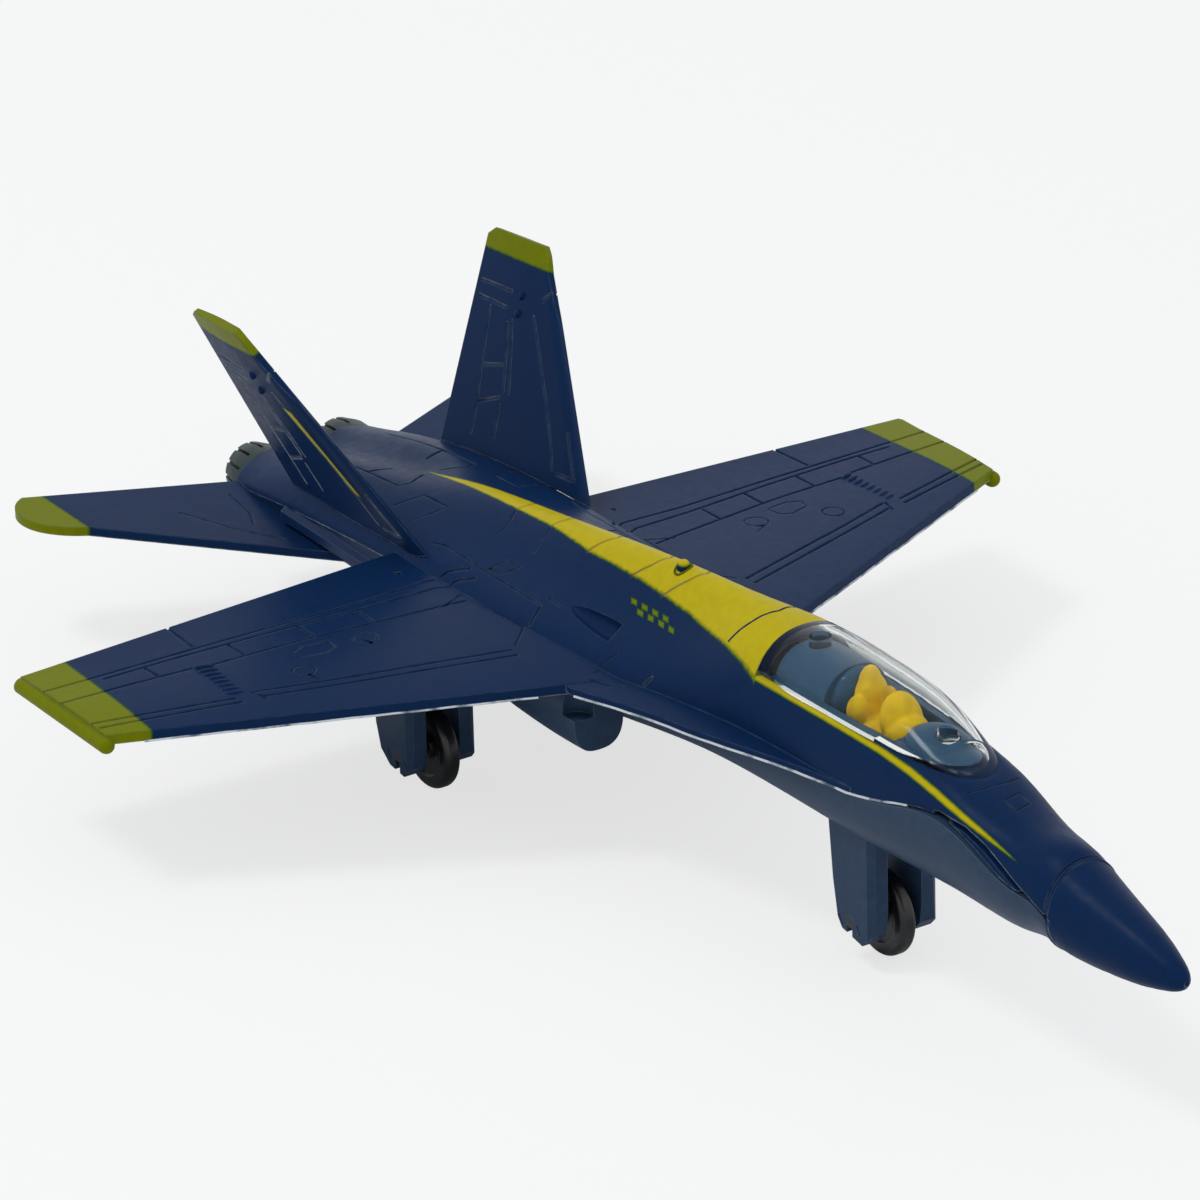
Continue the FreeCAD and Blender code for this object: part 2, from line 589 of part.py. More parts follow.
# --------------------------------------------------------------------- fasteners
def screw(x):
    seat = belly_z(x) + SCREW_RECESS
    bottom = seat - SCREW_HEAD_HEIGHT
    head = rod(SCREW_HEAD_RADIUS, Vector(x, 0, bottom), Vector(0, 0, SCREW_HEAD_HEIGHT))
    shank = rod(SCREW_RADIUS, Vector(x, 0, seat), Vector(0, 0, SCREW_LENGTH))
    arm = 0.6 * SCREW_HEAD_RADIUS
    half = CROSS_WIDTH / 2.0
    cross = [box(x - arm, x + arm, -half, half, bottom, bottom + CROSS_DEPTH),
             box(x - half, x + half, -arm, arm, bottom, bottom + CROSS_DEPTH)]
    return head.fuse(shank).cut(cross)


def screw_bore(x):
    """Clearance for a screw in the lower shell."""
    seat = belly_z(x) + SCREW_RECESS
    hole = rod(SCREW_RADIUS + FIT, Vector(x, 0, seat - 1), Vector(0, 0, 20))
    return hole.fuse(rod(SCREW_HEAD_RADIUS + 2 * FIT, Vector(x, 0, seat - 20), Vector(0, 0, 20)))


# -------------------------------------------------------------------- the shells
def upper_shell():
    skin = upper_body()
    sleeves = both_sides(fin_placed(fin_tab(SOCKET_WALL)))
    hollow = upper_body(UPPER_WALL, 3.0, HOLLOW).cut(sleeves)
    sides = both_sides(wing().fuse(strake()))
    shell = skin.fuse(sides + [nose_cone()]).cut(hollow)
    inside = upper_body(UPPER_WALL / 2.0, 10.0)
    feet = [Vector(x, 0, belly_z(x) + BOSS_HEIGHT + SEAT_GAP) for x in SCREW_XS]
    shell = shell.fuse([rod(POST_RADIUS, foot, Vector(0, 0, 30)).common(inside) for foot in feet])
    cuts = [ring_groove(), above_sill(SEAT_GAP), opening(OPENING_INSET, TUB_FLOOR_Z - 4, SILL_Z + 9)]
    cuts += both_sides(fin_placed(fin_tab(FIT)))
    cuts += both_sides(stabilator(FIT)) + both_sides(nozzle_socket())
    for x in SCREW_XS:
        cuts.append(rod(SCREW_RADIUS, Vector(x, 0, belly_z(x)), Vector(0, 0, SCREW_RECESS + SCREW_LENGTH + 0.5)))
    return shell.cut(cuts)


def nacelle():
    loops = []
    for x, y, half, z, rise in NACELLE:
        points = []
        for i in range(LOOP_STEPS):
            angle = 2.0 * math.pi * i / LOOP_STEPS
            across = half * signed_power(math.cos(angle), 2.0 / NACELLE_POWER)
            points.append(Vector(x, y + across, z + rise * signed_power(math.sin(angle), 2.0 / NACELLE_POWER)))
        loops.append(Part.Wire([spline(points, True)]))
    pod = Part.makeLoft(loops, True, False).cut(box(-50, 10, 0, 30, NACELLE_TOP_Z, 40))
    x, y, half = NACELLE[0][:3]
    return pod.cut(rod(SCOOP_RADIUS, Vector(x - 0.5, y + half - 0.6, NACELLE_TOP_Z), Vector(0, 0, -SCOOP_DEPTH)))


def shelf():
    corners = ((8.0, SHELF_BOTTOM_Z), (SHELF_Y, SHELF_BOTTOM_Z + 0.4), (SHELF_Y, SHELF_TOP_Z - 1.0),
               (SHELF_Y - 1.5, SHELF_TOP_Z), (8.0, SHELF_TOP_Z))
    block = prism([Vector(SHELF_X0, y, z) for y, z in corners], Vector(SHELF_X1 - SHELF_X0, 0, 0))
    return block.cut(upper_body(-SEAM_GAP, 0.0))


def main_gear():
    outer = MAIN_GEAR_Y + LEG_GAP / 2.0 + LEG_THICK
    pad = box(MAIN_GEAR_X - PAD_BACK, MAIN_GEAR_X + PAD_FRONT, WING_ROOT_Y - 3.0, outer, PAD_Z0, PAD_Z1)
    return pad.fuse(leg_pair(MAIN_GEAR_X, MAIN_GEAR_Y, MAIN_LEG))


def lower_shell():
    shell = lower_body().fuse(both_sides(nacelle()) + both_sides(shelf()) + both_sides(main_gear()))
    shell = shell.fuse(leg_pair(NOSE_GEAR_X, 0, NOSE_LEG))
    shell = shell.cut(lower_body(LOWER_WALL, 3.0, HOLLOW))
    half = STAB_TONGUE_LENGTH / 2.0 + SOCKET_WALL
    inner = STAB_ROOT_Y - STAB_TONGUE_DEPTH - SOCKET_WALL
    socket = box(STAB_TONGUE_X - half, STAB_TONGUE_X + half, inner, STAB_ROOT_Y + 2.0,
                 STAB_Z - STAB_THICK / 2.0 - SOCKET_WALL, STAB_Z + STAB_THICK / 2.0 + SOCKET_WALL)
    inside = lower_body(LOWER_WALL / 2.0)
    solid_parts = [piece.common(inside) for piece in both_sides(socket)]
    for x in SCREW_XS:
        top = belly_z(x) + BOSS_HEIGHT
        solid_parts.append(rod(BOSS_RADIUS, Vector(x, 0, top), Vector(0, 0, -BOSS_HEIGHT)).common(inside))
    shell = shell.fuse(solid_parts)
    above = wing().fuse(strake())
    above.translate(Vector(0, 0, -SEAM_GAP))
    cuts = both_sides(stabilator(FIT)) + both_sides(nozzle_socket()) + both_sides(above)
    return shell.cut(cuts + [screw_bore(x) for x in SCREW_XS])


# ------------------------------------------------------------------------ output
def sub_parts():
    parts = {
        "upper_shell": upper_shell(),
        "lower_shell": lower_shell(),
        "canopy": canopy(),
        "cockpit_tub": cockpit_tub(),
        "pilot": pilot(),
        "body_screws": Part.Compound([screw(x) for x in SCREW_XS]),
        "nose_wheel": wheel(NOSE_GEAR_X, 0),
        "nose_axle": axle(NOSE_GEAR_X, 0),
    }
    paired = {
        "fin": fin(),
        "stabilator": stabilator(),
        "nozzle": nozzle(),
        "main_wheel": wheel(MAIN_GEAR_X, MAIN_GEAR_Y),
        "main_axle": axle(MAIN_GEAR_X, MAIN_GEAR_Y),
    }
    for name, shape in paired.items():
        parts["left_" + name] = shape
        parts["right_" + name] = mirrored(shape)
    return parts


os.makedirs("parts", exist_ok=True)
for name, shape in sub_parts().items():
    shape.translate(CENTRING)
    solids = shape.Solids
    print(name, "solids", len(solids), "valid", shape.isValid(), "mm3", round(shape.Volume, 1))
    whole = solids[0] if len(solids) == 1 else Part.Compound(solids)
    whole.exportStep("parts/" + name + ".step")
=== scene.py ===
import math

import bmesh
import bpy
from mathutils import Matrix, Vector
from mathutils.bvhtree import BVHTree


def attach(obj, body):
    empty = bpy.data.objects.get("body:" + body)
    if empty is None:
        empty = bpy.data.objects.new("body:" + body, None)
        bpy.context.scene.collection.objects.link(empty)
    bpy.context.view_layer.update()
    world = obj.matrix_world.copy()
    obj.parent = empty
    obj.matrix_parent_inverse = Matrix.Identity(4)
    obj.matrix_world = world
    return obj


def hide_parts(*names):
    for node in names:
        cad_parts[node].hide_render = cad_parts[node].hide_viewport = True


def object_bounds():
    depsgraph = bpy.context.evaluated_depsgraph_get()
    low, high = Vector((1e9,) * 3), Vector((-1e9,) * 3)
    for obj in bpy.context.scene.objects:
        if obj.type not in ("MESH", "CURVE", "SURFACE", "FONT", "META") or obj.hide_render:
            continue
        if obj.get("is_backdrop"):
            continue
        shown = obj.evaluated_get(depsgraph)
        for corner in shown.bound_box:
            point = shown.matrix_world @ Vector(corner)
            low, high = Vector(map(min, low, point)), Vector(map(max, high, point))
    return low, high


# The looks of a toy jet airplane: paint, engraved panel lines, moulded plastics
# and a clear canopy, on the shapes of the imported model. Positions are written in
# millimetres in the model's frame and turned into metres by MM.

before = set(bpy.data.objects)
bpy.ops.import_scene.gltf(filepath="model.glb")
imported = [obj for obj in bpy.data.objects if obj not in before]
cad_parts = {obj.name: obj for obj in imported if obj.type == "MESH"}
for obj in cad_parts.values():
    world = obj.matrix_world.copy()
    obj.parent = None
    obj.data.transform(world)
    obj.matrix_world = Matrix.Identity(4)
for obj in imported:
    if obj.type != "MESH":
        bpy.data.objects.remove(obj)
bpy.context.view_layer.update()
MM = 0.001
DOWN = Vector((0, 0, -1))
UP = Vector((0, 0, 1))
SIDES = ((1, "left"), (-1, "right"))

FIN_CANT = math.radians(24.0)      # the fins lean outward by this
FIN_ROOT = Vector((0, 10.6, 21.6))
NOSE_RING = Vector((72.8, 0, 20.65))       # middle of the groove behind the cone
CHANNEL = Vector((-3.4, 7.6, 24.9))        # front end of the channel beside the strake
SPIGOT_PAD = Vector((-77.2, 7.0))          # middle of the pad under the left nozzle's spigot
LAMP_Y = -0.6                              # the spine lamp sits a little off the middle

RAY_RUN = 0.06             # metres: rays start this far outside a surface
ABOVE_ALL = 60             # millimetres: higher than any part
BELOW_ALL = -20            # millimetres: lower than any part
STRIP_TOP = 1.3            # an engraving strip is wider above the face, in half widths
STRIP_FOOT = 0.6           # and narrower at the bottom of the line
LINES = 1                  # the material slot of engraved faces

# Engraved lines: width and depth in millimetres.
PANEL_CUT = (0.5, 0.24)
CAP_CUT = (0.34, 0.18)
MARK_CUT = (0.34, 0.14)
NOSE_CUT = (0.24, 0.14)
UNDER_CUT = (0.36, 0.16)
CHEEK_CUT = (0.62, 0.7)
SIDE_CUT = (0.3, 0.16)
CRIMP_CUT = (0.34, 0.3)
FIN_CUT = (0.42, 0.16)
STABILATOR_CUT = (0.36, 0.14)


# ------------------------------------------------------------------ mesh helpers
def link(obj):
    """Puts an object in the scene."""
    bpy.context.scene.collection.objects.link(obj)
    return obj


def merged(node, name):
    """A welded copy of a CAD node, ready for engraving and smooth shading."""
    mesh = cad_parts[node].data.copy()
    mesh.name = name
    mesh.materials.clear()
    bm = bmesh.new()
    bm.from_mesh(mesh)
    bmesh.ops.remove_doubles(bm, verts=bm.verts, dist=1e-6)
    bm.to_mesh(mesh)
    bm.free()
    if "custom_normal" in mesh.attributes:
        mesh.attributes.remove(mesh.attributes["custom_normal"])
    for polygon in mesh.polygons:
        polygon.material_index = 0
    return link(bpy.data.objects.new(name, mesh))


def evaluated_mesh(obj):
    """A new mesh of obj with its modifiers applied."""
    bpy.context.view_layer.update()
    graph = bpy.context.evaluated_depsgraph_get()
    return bpy.data.meshes.new_from_object(obj.evaluated_get(graph), depsgraph=graph)


def combine(obj, tool, operation):
    """Cuts the tool out of obj, or joins it on, and removes the tool."""
    step = obj.modifiers.new(operation.lower(), "BOOLEAN")
    step.operation = operation
    step.solver = "MANIFOLD"
    step.object = tool
    mesh = evaluated_mesh(obj)
    obj.modifiers.remove(step)
    old = obj.data
    obj.data = mesh
    bpy.data.meshes.remove(old)
    bpy.data.objects.remove(tool)


def surface_of(obj):
    """The faces of obj as they are now, to aim rays at."""
    graph = bpy.context.evaluated_depsgraph_get()
    bpy.context.view_layer.update()
    return BVHTree.FromObject(obj, graph)


def height_at(surface, x, y):
    """How high the surface lies at a place seen from above."""
    spot, *_ = surface.ray_cast(Vector((x, y, ABOVE_ALL)) * MM, DOWN)
    return spot.z / MM


def depth_at(surface, x, y):
    """How low the surface lies at a place seen from below."""
    spot, *_ = surface.ray_cast(Vector((x, y, BELOW_ALL)) * MM, UP)
    return spot.z / MM


def outermost(surface, start, toward, low, high, step=0.08):
    """The lowest of the points of the edge that a sweep of rays meets first."""
    found = []
    level = low
    while level < high:
        spot, *_ = surface.ray_cast(Vector((*start, level)) * MM, toward)
        if spot:
            found.append(spot / MM)
        level += step
    reach = min(p.dot(toward) for p in found)
    near = [p for p in found if p.dot(toward) < reach + 0.12]
    return min(near, key=lambda p: p.z) - Vector((0, 0, 0.05))


def resampled(path, step=0.7):
    """Points every step millimetres along a path of straight runs."""
    points = []
    for a, b in zip(path, path[1:]):
        a, b = Vector(a), Vector(b)
        count = max(1, round((b - a).length / step))
        points += [a.lerp(b, i / count) for i in range(count)]
    return points + [Vector(path[-1])]


def closed_solid(bm, name):
    """Turns all faces outward and makes an object of them."""
    bmesh.ops.recalc_face_normals(bm, faces=bm.faces)
    mesh = bpy.data.meshes.new(name)
    bm.to_mesh(mesh)
    bm.free()
    return link(bpy.data.objects.new(name, mesh))


def ribbon(bm, surface, path, toward, width, depth, lift=0.25):
    """A closed strip along a path laid on the surface, to engrave a line with."""
    laid = []
    for point in resampled(path):
        start = point * MM - toward * RAY_RUN
        spot, normal, *_ = surface.ray_cast(start, toward)
        if spot:
            laid.append((spot, normal))
    if len(laid) < 2:
        return
    rings = []
    for i, (spot, normal) in enumerate(laid):
        before, after = laid[max(i - 1, 0)], laid[min(i + 1, len(laid) - 1)]
        along = (after[0] - before[0]).normalized()
        out = (before[1] + normal + after[1]).normalized()
        side = along.cross(out).normalized() * width * MM / 2
        reach = Vector()
        if i == 0:
            reach = -along * width * MM / 2
        if i == len(laid) - 1:
            reach = along * width * MM / 2
        top, bottom = spot + reach + out * lift * MM, spot + reach - out * depth * MM
        corners = (top + side * STRIP_TOP, top - side * STRIP_TOP,
                   bottom - side * STRIP_FOOT, bottom + side * STRIP_FOOT)
        rings.append([bm.verts.new(corner) for corner in corners])
    for a, b in zip(rings, rings[1:]):
        for k in range(4):
            bm.faces.new((a[k], a[(k + 1) % 4], b[(k + 1) % 4], b[k]))
    bm.faces.new(rings[0])
    bm.faces.new(rings[-1][::-1])


def as_cutter(tool):
    """Marks all faces of a tool, so that the faces it leaves take the second material."""
    for _ in range(2):
        tool.data.materials.append(None)
    for polygon in tool.data.polygons:
        polygon.material_index = LINES
    return tool


def engrave(obj, lines, toward, width, depth):
    """Cuts lines into obj. Lines of one call do not cross one another."""
    bm = bmesh.new()
    surface = surface_of(obj)
    for path in lines:
        ribbon(bm, surface, path, toward, width, depth)
    combine(obj, as_cutter(closed_solid(bm, "lines")), "DIFFERENCE")


def flipped(lines):
    """The same lines on the other side of the airplane."""
    return [[(x, -y, *rest) for x, y, *rest in path] for path in lines]


def both_sides(lines):
    """The lines and the same lines on the other side."""
    return lines + flipped(lines)


def around(step):
    """Cosine and sine of every step degrees of a turn."""
    return [(math.cos(math.radians(a)), math.sin(math.radians(a))) for a in range(0, 360, step)]


def ring(x, y, radius, count=24):
    """A closed circle seen from above, as a path."""
    turn = 2 * math.pi / count
    return [(x + radius * math.cos(i * turn), y + radius * math.sin(i * turn), 0) for i in range(count + 1)]


def hull(name, points):
    """A closed convex solid round the points, given in millimetres."""
    bm = bmesh.new()
    for point in points:
        bm.verts.new(Vector(point) * MM)
    bmesh.ops.convex_hull(bm, input=bm.verts)
    bmesh.ops.delete(bm, geom=[v for v in bm.verts if not v.link_faces], context="VERTS")
    return closed_solid(bm, name)


def block(name, xs, ys, zs):
    """A box between two values on each axis."""
    return hull(name, [(x, y, z) for x in xs for y in ys for z in zs])


def tube(name, path, radius, closed=False):
    """A round bead along a path in millimetres."""
    bm = bmesh.new()
    points = [Vector(p) * MM for p in path]
    count = len(points)
    rings = []
    for i, point in enumerate(points):
        before = points[i - 1] if closed or i else point
        after = points[(i + 1) % count] if closed or i < count - 1 else point
        along = (after - before).normalized()
        side = along.cross(UP).normalized()
        over = side.cross(along)
        rings.append([bm.verts.new(point + (side * c + over * s) * radius * MM) for c, s in around(45)])
    pairs = list(zip(rings, rings[1:])) + ([(rings[-1], rings[0])] if closed else [])
    for a, b in pairs:
        for k in range(8):
            bm.faces.new((a[k], a[(k + 1) % 8], b[(k + 1) % 8], b[k]))
    if not closed:
        bm.faces.new(rings[0])
        bm.faces.new(rings[-1][::-1])
    return closed_solid(bm, name)


def rounded(obj, radius, steps=2):
    """Rounds the sharp edges of obj."""
    ease = obj.modifiers.new("ease", "BEVEL")
    ease.width = radius * MM
    ease.segments = steps
    mesh = evaluated_mesh(obj)
    obj.modifiers.remove(ease)
    obj.data = mesh
    return obj


def moulding(name, balls, grain=0.16, smoothing=6):
    """One smooth moulding out of overlapping balls: centre, radii and lean about Y."""
    bm = bmesh.new()
    for centre, radii, lean in balls:
        place = Matrix.Translation(Vector(centre) * MM) @ Matrix.Rotation(math.radians(lean), 4, "Y")
        size = Matrix.Diagonal((*(r * MM for r in radii), 1))
        bmesh.ops.create_uvsphere(bm, u_segments=32, v_segments=20, radius=1.0, matrix=place @ size)
    mesh = bpy.data.meshes.new(name)
    bm.to_mesh(mesh)
    bm.free()
    obj = link(bpy.data.objects.new(name, mesh))
    weld = obj.modifiers.new("weld", "REMESH")
    weld.mode = "VOXEL"
    weld.voxel_size = grain * MM
    ease = obj.modifiers.new("ease", "SMOOTH")
    ease.iterations = smoothing
    mesh = evaluated_mesh(obj)
    obj.modifiers.clear()
    obj.data = mesh
    return obj


def add_on(obj, body, material):
    """Finishes a small raised piece that is part of a body."""
    obj.data.materials.clear()
    obj.data.materials.append(material)
    shade_smooth(obj)
    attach(obj, body)
    return obj


def shade_smooth(obj, angle=32):
    """Smooth shading, with edges kept sharp above the angle in degrees."""
    mesh = obj.data
    mesh.polygons.foreach_set("use_smooth", [True] * len(mesh.polygons))
    mesh.set_sharp_from_angle(angle=math.radians(angle))


def dress(obj, node, body, slot, *materials, angle=32):
    """Finishes a piece that stands for a CAD node."""
    obj.data.materials.clear()
    for material in materials:
        obj.data.materials.append(material)
    shade_smooth(obj, angle)
    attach(obj, body)
    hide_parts(node)
    return obj


# --------------------------------------------------------------- geometry nodes
def rib_row_tree():
    """A row of rounded ribs: start, step, count, size and turn are its inputs."""
    tree = bpy.data.node_groups.new("rib_row", "GeometryNodeTree")
    tree.interface.new_socket("Geometry", in_out="OUTPUT", socket_type="NodeSocketGeometry")
    for name, kind in (("Start", "Vector"), ("Step", "Vector"), ("Count", "Int"), ("Size", "Vector"),
                       ("Turn", "Float"), ("Material", "Material")):
        tree.interface.new_socket(name, in_out="INPUT", socket_type="NodeSocket" + kind)
    given = tree.nodes.new("NodeGroupInput")
    line = tree.nodes.new("GeometryNodeMeshLine")
    line.mode = "OFFSET"
    ball = tree.nodes.new("GeometryNodeMeshUVSphere")
    ball.inputs["Segments"].default_value = 16
    ball.inputs["Rings"].default_value = 8
    ball.inputs["Radius"].default_value = 1.0
    shape = tree.nodes.new("GeometryNodeTransform")
    turn = tree.nodes.new("ShaderNodeCombineXYZ")
    place = tree.nodes.new("GeometryNodeInstanceOnPoints")
    real = tree.nodes.new("GeometryNodeRealizeInstances")
    paint = tree.nodes.new("GeometryNodeSetMaterial")
    result = tree.nodes.new("NodeGroupOutput")
    join = tree.links.new
    join(given.outputs["Count"], line.inputs["Count"])
    join(given.outputs["Start"], line.inputs["Start Location"])
    join(given.outputs["Step"], line.inputs["Offset"])
    join(ball.outputs["Mesh"], shape.inputs["Geometry"])
    join(given.outputs["Size"], shape.inputs["Scale"])
    join(given.outputs["Turn"], turn.inputs["Z"])
    join(line.outputs["Mesh"], place.inputs["Points"])
    join(shape.outputs["Geometry"], place.inputs["Instance"])
    join(turn.outputs["Vector"], place.inputs["Rotation"])
    join(place.outputs["Instances"], real.inputs["Geometry"])
    join(real.outputs["Geometry"], paint.inputs["Geometry"])
    join(given.outputs["Material"], paint.inputs["Material"])
    join(paint.outputs["Geometry"], result.inputs["Geometry"])
    return tree


def grown(tree, name, **values):
    """Runs a tree with its named inputs and returns a plain mesh object."""
    obj = link(bpy.data.objects.new(name, bpy.data.meshes.new(name)))
    grow = obj.modifiers.new(name, "NODES")
    grow.node_group = tree
    for item in tree.interface.items_tree:
        if item.in_out == "INPUT" and item.name in values:
            grow[item.identifier] = values[item.name]
    mesh = evaluated_mesh(obj)
    obj.modifiers.remove(grow)
    obj.data = mesh
    return obj


# -------------------------------------------------------------- material helpers
class Nodes:
    """Short words for building a node tree."""

    def __init__(self, tree):
        self.tree = tree

    def add(self, kind, values=None, **settings):
        """A node with its settings made and its inputs linked or set."""
        node = self.tree.nodes.new(kind)
        for key, value in settings.items():
            setattr(node, key, value)
        for key, value in (values or {}).items():
            if isinstance(value, bpy.types.NodeSocket):
                self.tree.links.new(value, node.inputs[key])
            else:
                node.inputs[key].default_value = value
        return node

    def fade(self, value, start, end, low=0.0, high=1.0):
        """A value taken from start..end to low..high and held at both ends."""
        return self.add("ShaderNodeMapRange", {"Value": value, "From Min": start, "From Max": end,
                                               "To Min": low, "To Max": high}).outputs[0]

    def scaled(self, vector, factor):
        """A colour or a vector made larger or smaller."""
        return self.add("ShaderNodeVectorMath", {0: vector, 3: factor}, operation="SCALE").outputs[0]

    def math(self, operation, *values, clamp=False):
        node = self.add("ShaderNodeMath", dict(enumerate(values)), operation=operation, use_clamp=clamp)
        return node.outputs[0]

    def millimetres(self):
        """Object coordinates in millimetres, whole and split."""
        place = self.add("ShaderNodeTexCoord").outputs["Object"]
        scaled = self.add("ShaderNodeVectorMath", {0: place, 1: (1000, 1000, 1000)}, operation="MULTIPLY").outputs[0]
        x, y, z = self.add("ShaderNodeSeparateXYZ", {0: scaled}).outputs
        return scaled, x, y, z

    def noise(self, vector, scale, detail=2.0):
        return self.add("ShaderNodeTexNoise", {"Vector": vector, "Scale": scale, "Detail": detail}).outputs["Fac"]

    def curve(self, value, points, x_range, y_range):
        """A value drawn through points, each range mapped to 0..1."""
        node = self.add("ShaderNodeFloatCurve", {"Value": self.fade(value, *x_range)})
        knots = node.mapping.curves[0].points
        for i, (x, y) in enumerate(points):
            px = (x - x_range[0]) / (x_range[1] - x_range[0])
            py = (y - y_range[0]) / (y_range[1] - y_range[0])
            knot = knots[i] if i < 2 else knots.new(px, py)
            knot.location = (px, py)
            knot.handle_type = "VECTOR"
        node.mapping.update()
        return self.math("MULTIPLY_ADD", node.outputs[0], y_range[1] - y_range[0], y_range[0])

    def mix(self, factor, a, b):
        """Colour a where the factor is 0, and b where it is 1."""
        node = self.add("ShaderNodeMix", {"Factor": factor, 6: a, 7: b}, data_type="RGBA")
        return node.outputs[2]

    def group(self, tree, values):
        return self.add("ShaderNodeGroup", values, node_tree=tree).outputs

    def surface(self, color, roughness, normal=None, **plain):
        """The shader, with its steady values on its own sockets."""
        values = {"Base Color": color, "Roughness": roughness}
        values.update({key.replace("_", " "): value for key, value in plain.items()})
        if normal:
            values["Normal"] = normal
        shader = self.add("ShaderNodeBsdfPrincipled", values)
        out = self.add("ShaderNodeOutputMaterial")
        self.tree.links.new(shader.outputs[0], out.inputs["Surface"])
        return shader


def new_group(name, inputs, outputs):
    """A shader group: its tree, its node words, its inputs and its outputs."""
    tree = bpy.data.node_groups.new(name, "ShaderNodeTree")
    for socket, kind, start in inputs:
        made = tree.interface.new_socket(socket, in_out="INPUT", socket_type="NodeSocket" + kind)
        if start is not None:
            made.default_value = start
    for socket, kind in outputs:
        tree.interface.new_socket(socket, in_out="OUTPUT", socket_type="NodeSocket" + kind)
    return tree, Nodes(tree), tree.nodes.new("NodeGroupInput").outputs, tree.nodes.new("NodeGroupOutput").inputs


def edge_rub_and_highlight_group():
    """Where edges are lighter, partly from rubbed paint and partly as painted highlight: a mask, and a normal that
    rounds them.
    """
    tree, n, given, out = new_group("edge_rub_and_highlight", [("Radius", "Float", 0.0002), ("Patchiness", "Float", 0.5)],
                                    [("Mask", "Float"), ("Normal", "Vector")])
    rounded = n.add("ShaderNodeBevel", {"Radius": given["Radius"]}, samples=6).outputs[0]
    flat = n.add("ShaderNodeNewGeometry").outputs["Normal"]
    turn = n.add("ShaderNodeVectorMath", {0: rounded, 1: flat}, operation="DOT_PRODUCT").outputs["Value"]
    edge = n.fade(turn, 0.99, 0.80)
    place, *_ = n.millimetres()
    patch = n.fade(n.noise(place, 0.6, 4.0), 0.35, 0.65)
    kept = n.math("MULTIPLY_ADD", n.math("SUBTRACT", patch, 1.0), given["Patchiness"], 1.0)
    tree.links.new(n.math("MULTIPLY", edge, kept, clamp=True), out["Mask"])
    tree.links.new(rounded, out["Normal"])
    return tree


def surface_grain_group():
    """Fine grain and slow unevenness of a cast or moulded face, as a normal and a mottle."""
    tree, n, given, out = new_group(
        "surface_grain", [("Normal", "Vector", None), ("Fine", "Float", 0.1), ("Wave", "Float", 0.1)],
        [("Normal", "Vector"), ("Mottle", "Float")])
    place, *_ = n.millimetres()
    fine = n.math("MULTIPLY", n.noise(place, 7.0, 3.0), given["Fine"])
    wave = n.math("MULTIPLY", n.noise(place, 0.35, 2.0), given["Wave"])
    height = n.math("ADD", fine, wave)
    bump = n.add("ShaderNodeBump", {"Height": height, "Normal": given["Normal"], "Distance": 0.0002, "Strength": 0.5})
    tree.links.new(bump.outputs[0], out["Normal"])
    tree.links.new(n.noise(place, 0.9, 5.0), out["Mottle"])
    return tree


EDGE_RUB_AND_HIGHLIGHT = edge_rub_and_highlight_group()
SURFACE_GRAIN = surface_grain_group()

NAVY = (0.0040, 0.021, 0.074, 1)
# Painted highlight and rubbed paint: the light colour of the casting's edges, and bare metal where they face down.
NAVY_RUBBED_AND_LIT = (0.16, 0.25, 0.36, 1)
BARE_METAL_AND_GLINT = (0.62, 0.66, 0.70, 1)
YELLOW = (0.52, 0.42, 0.008, 1)
OLIVE = (0.165, 0.19, 0.0004, 1)
PAINT_FRINGE = (0.02, 0.10, 0.004, 1)      # thin yellow over navy looks green
# Painted shade: darker navy and yellow for the bottoms of engraved lines.
GROOVE_SHADE_NAVY = (0.003, 0.012, 0.042, 1)
GROOVE_SHADE_YELLOW = (0.11, 0.115, 0.002, 1)


def new_material(name):
    """An empty material and the words for building it."""
    material = bpy.data.materials.new(name)
    material.use_nodes = True
    material.node_tree.nodes.clear()
    return material, Nodes(material.node_tree)


def sprayed(n, ground, place, distance, paint, ragged=0.12):
    """Paint laid over the ground where distance, in millimetres, is above zero."""
    rough = n.math("SUBTRACT", n.noise(place, 1.6, 4.0), 0.5)
    edge = n.math("MULTIPLY_ADD", rough, ragged * 2, distance)
    cover = n.fade(edge, -0.10, 0.08)
    full = n.fade(edge, 0.0, 0.30)
    return n.mix(cover, ground, n.mix(full, PAINT_FRINGE, paint))


def navy_finish(n, color, rub_and_glint=0.26, shine=0.04, fine=0.10, wave=0.25, roughness=0.34):
    """Satin navy, its edges lighter from rubbing and painted highlight, and bare metal with painted highlight where
    they face down.
    """
    rub_and_highlight = n.group(EDGE_RUB_AND_HIGHLIGHT, {"Radius": 0.00028, "Patchiness": 0.7})
    grain = n.group(SURFACE_GRAIN, {"Normal": rub_and_highlight["Normal"], "Fine": fine, "Wave": wave})
    color = n.scaled(color, n.fade(grain["Mottle"], 0.3, 0.7, 0.95, 1.06))
    lean = n.add("ShaderNodeSeparateXYZ", {0: rub_and_highlight["Normal"]}).outputs[2]
    below = n.fade(lean, 0.35, -0.25)
    # Edge lightening, part rubbed paint and part painted highlight, strongest on edges that face down.
    rubbed_and_lit = n.math("MULTIPLY", rub_and_highlight["Mask"], n.math("MULTIPLY_ADD", below, 1.0 - rub_and_glint, rub_and_glint))
    color = n.mix(rubbed_and_lit, color, n.mix(below, NAVY_RUBBED_AND_LIT, BARE_METAL_AND_GLINT))
    rough = n.math("MULTIPLY_ADD", n.math("SUBTRACT", grain["Mottle"], 0.5), 0.25, roughness)
    n.surface(color, rough, grain["Normal"], Specular_IOR_Level=shine)


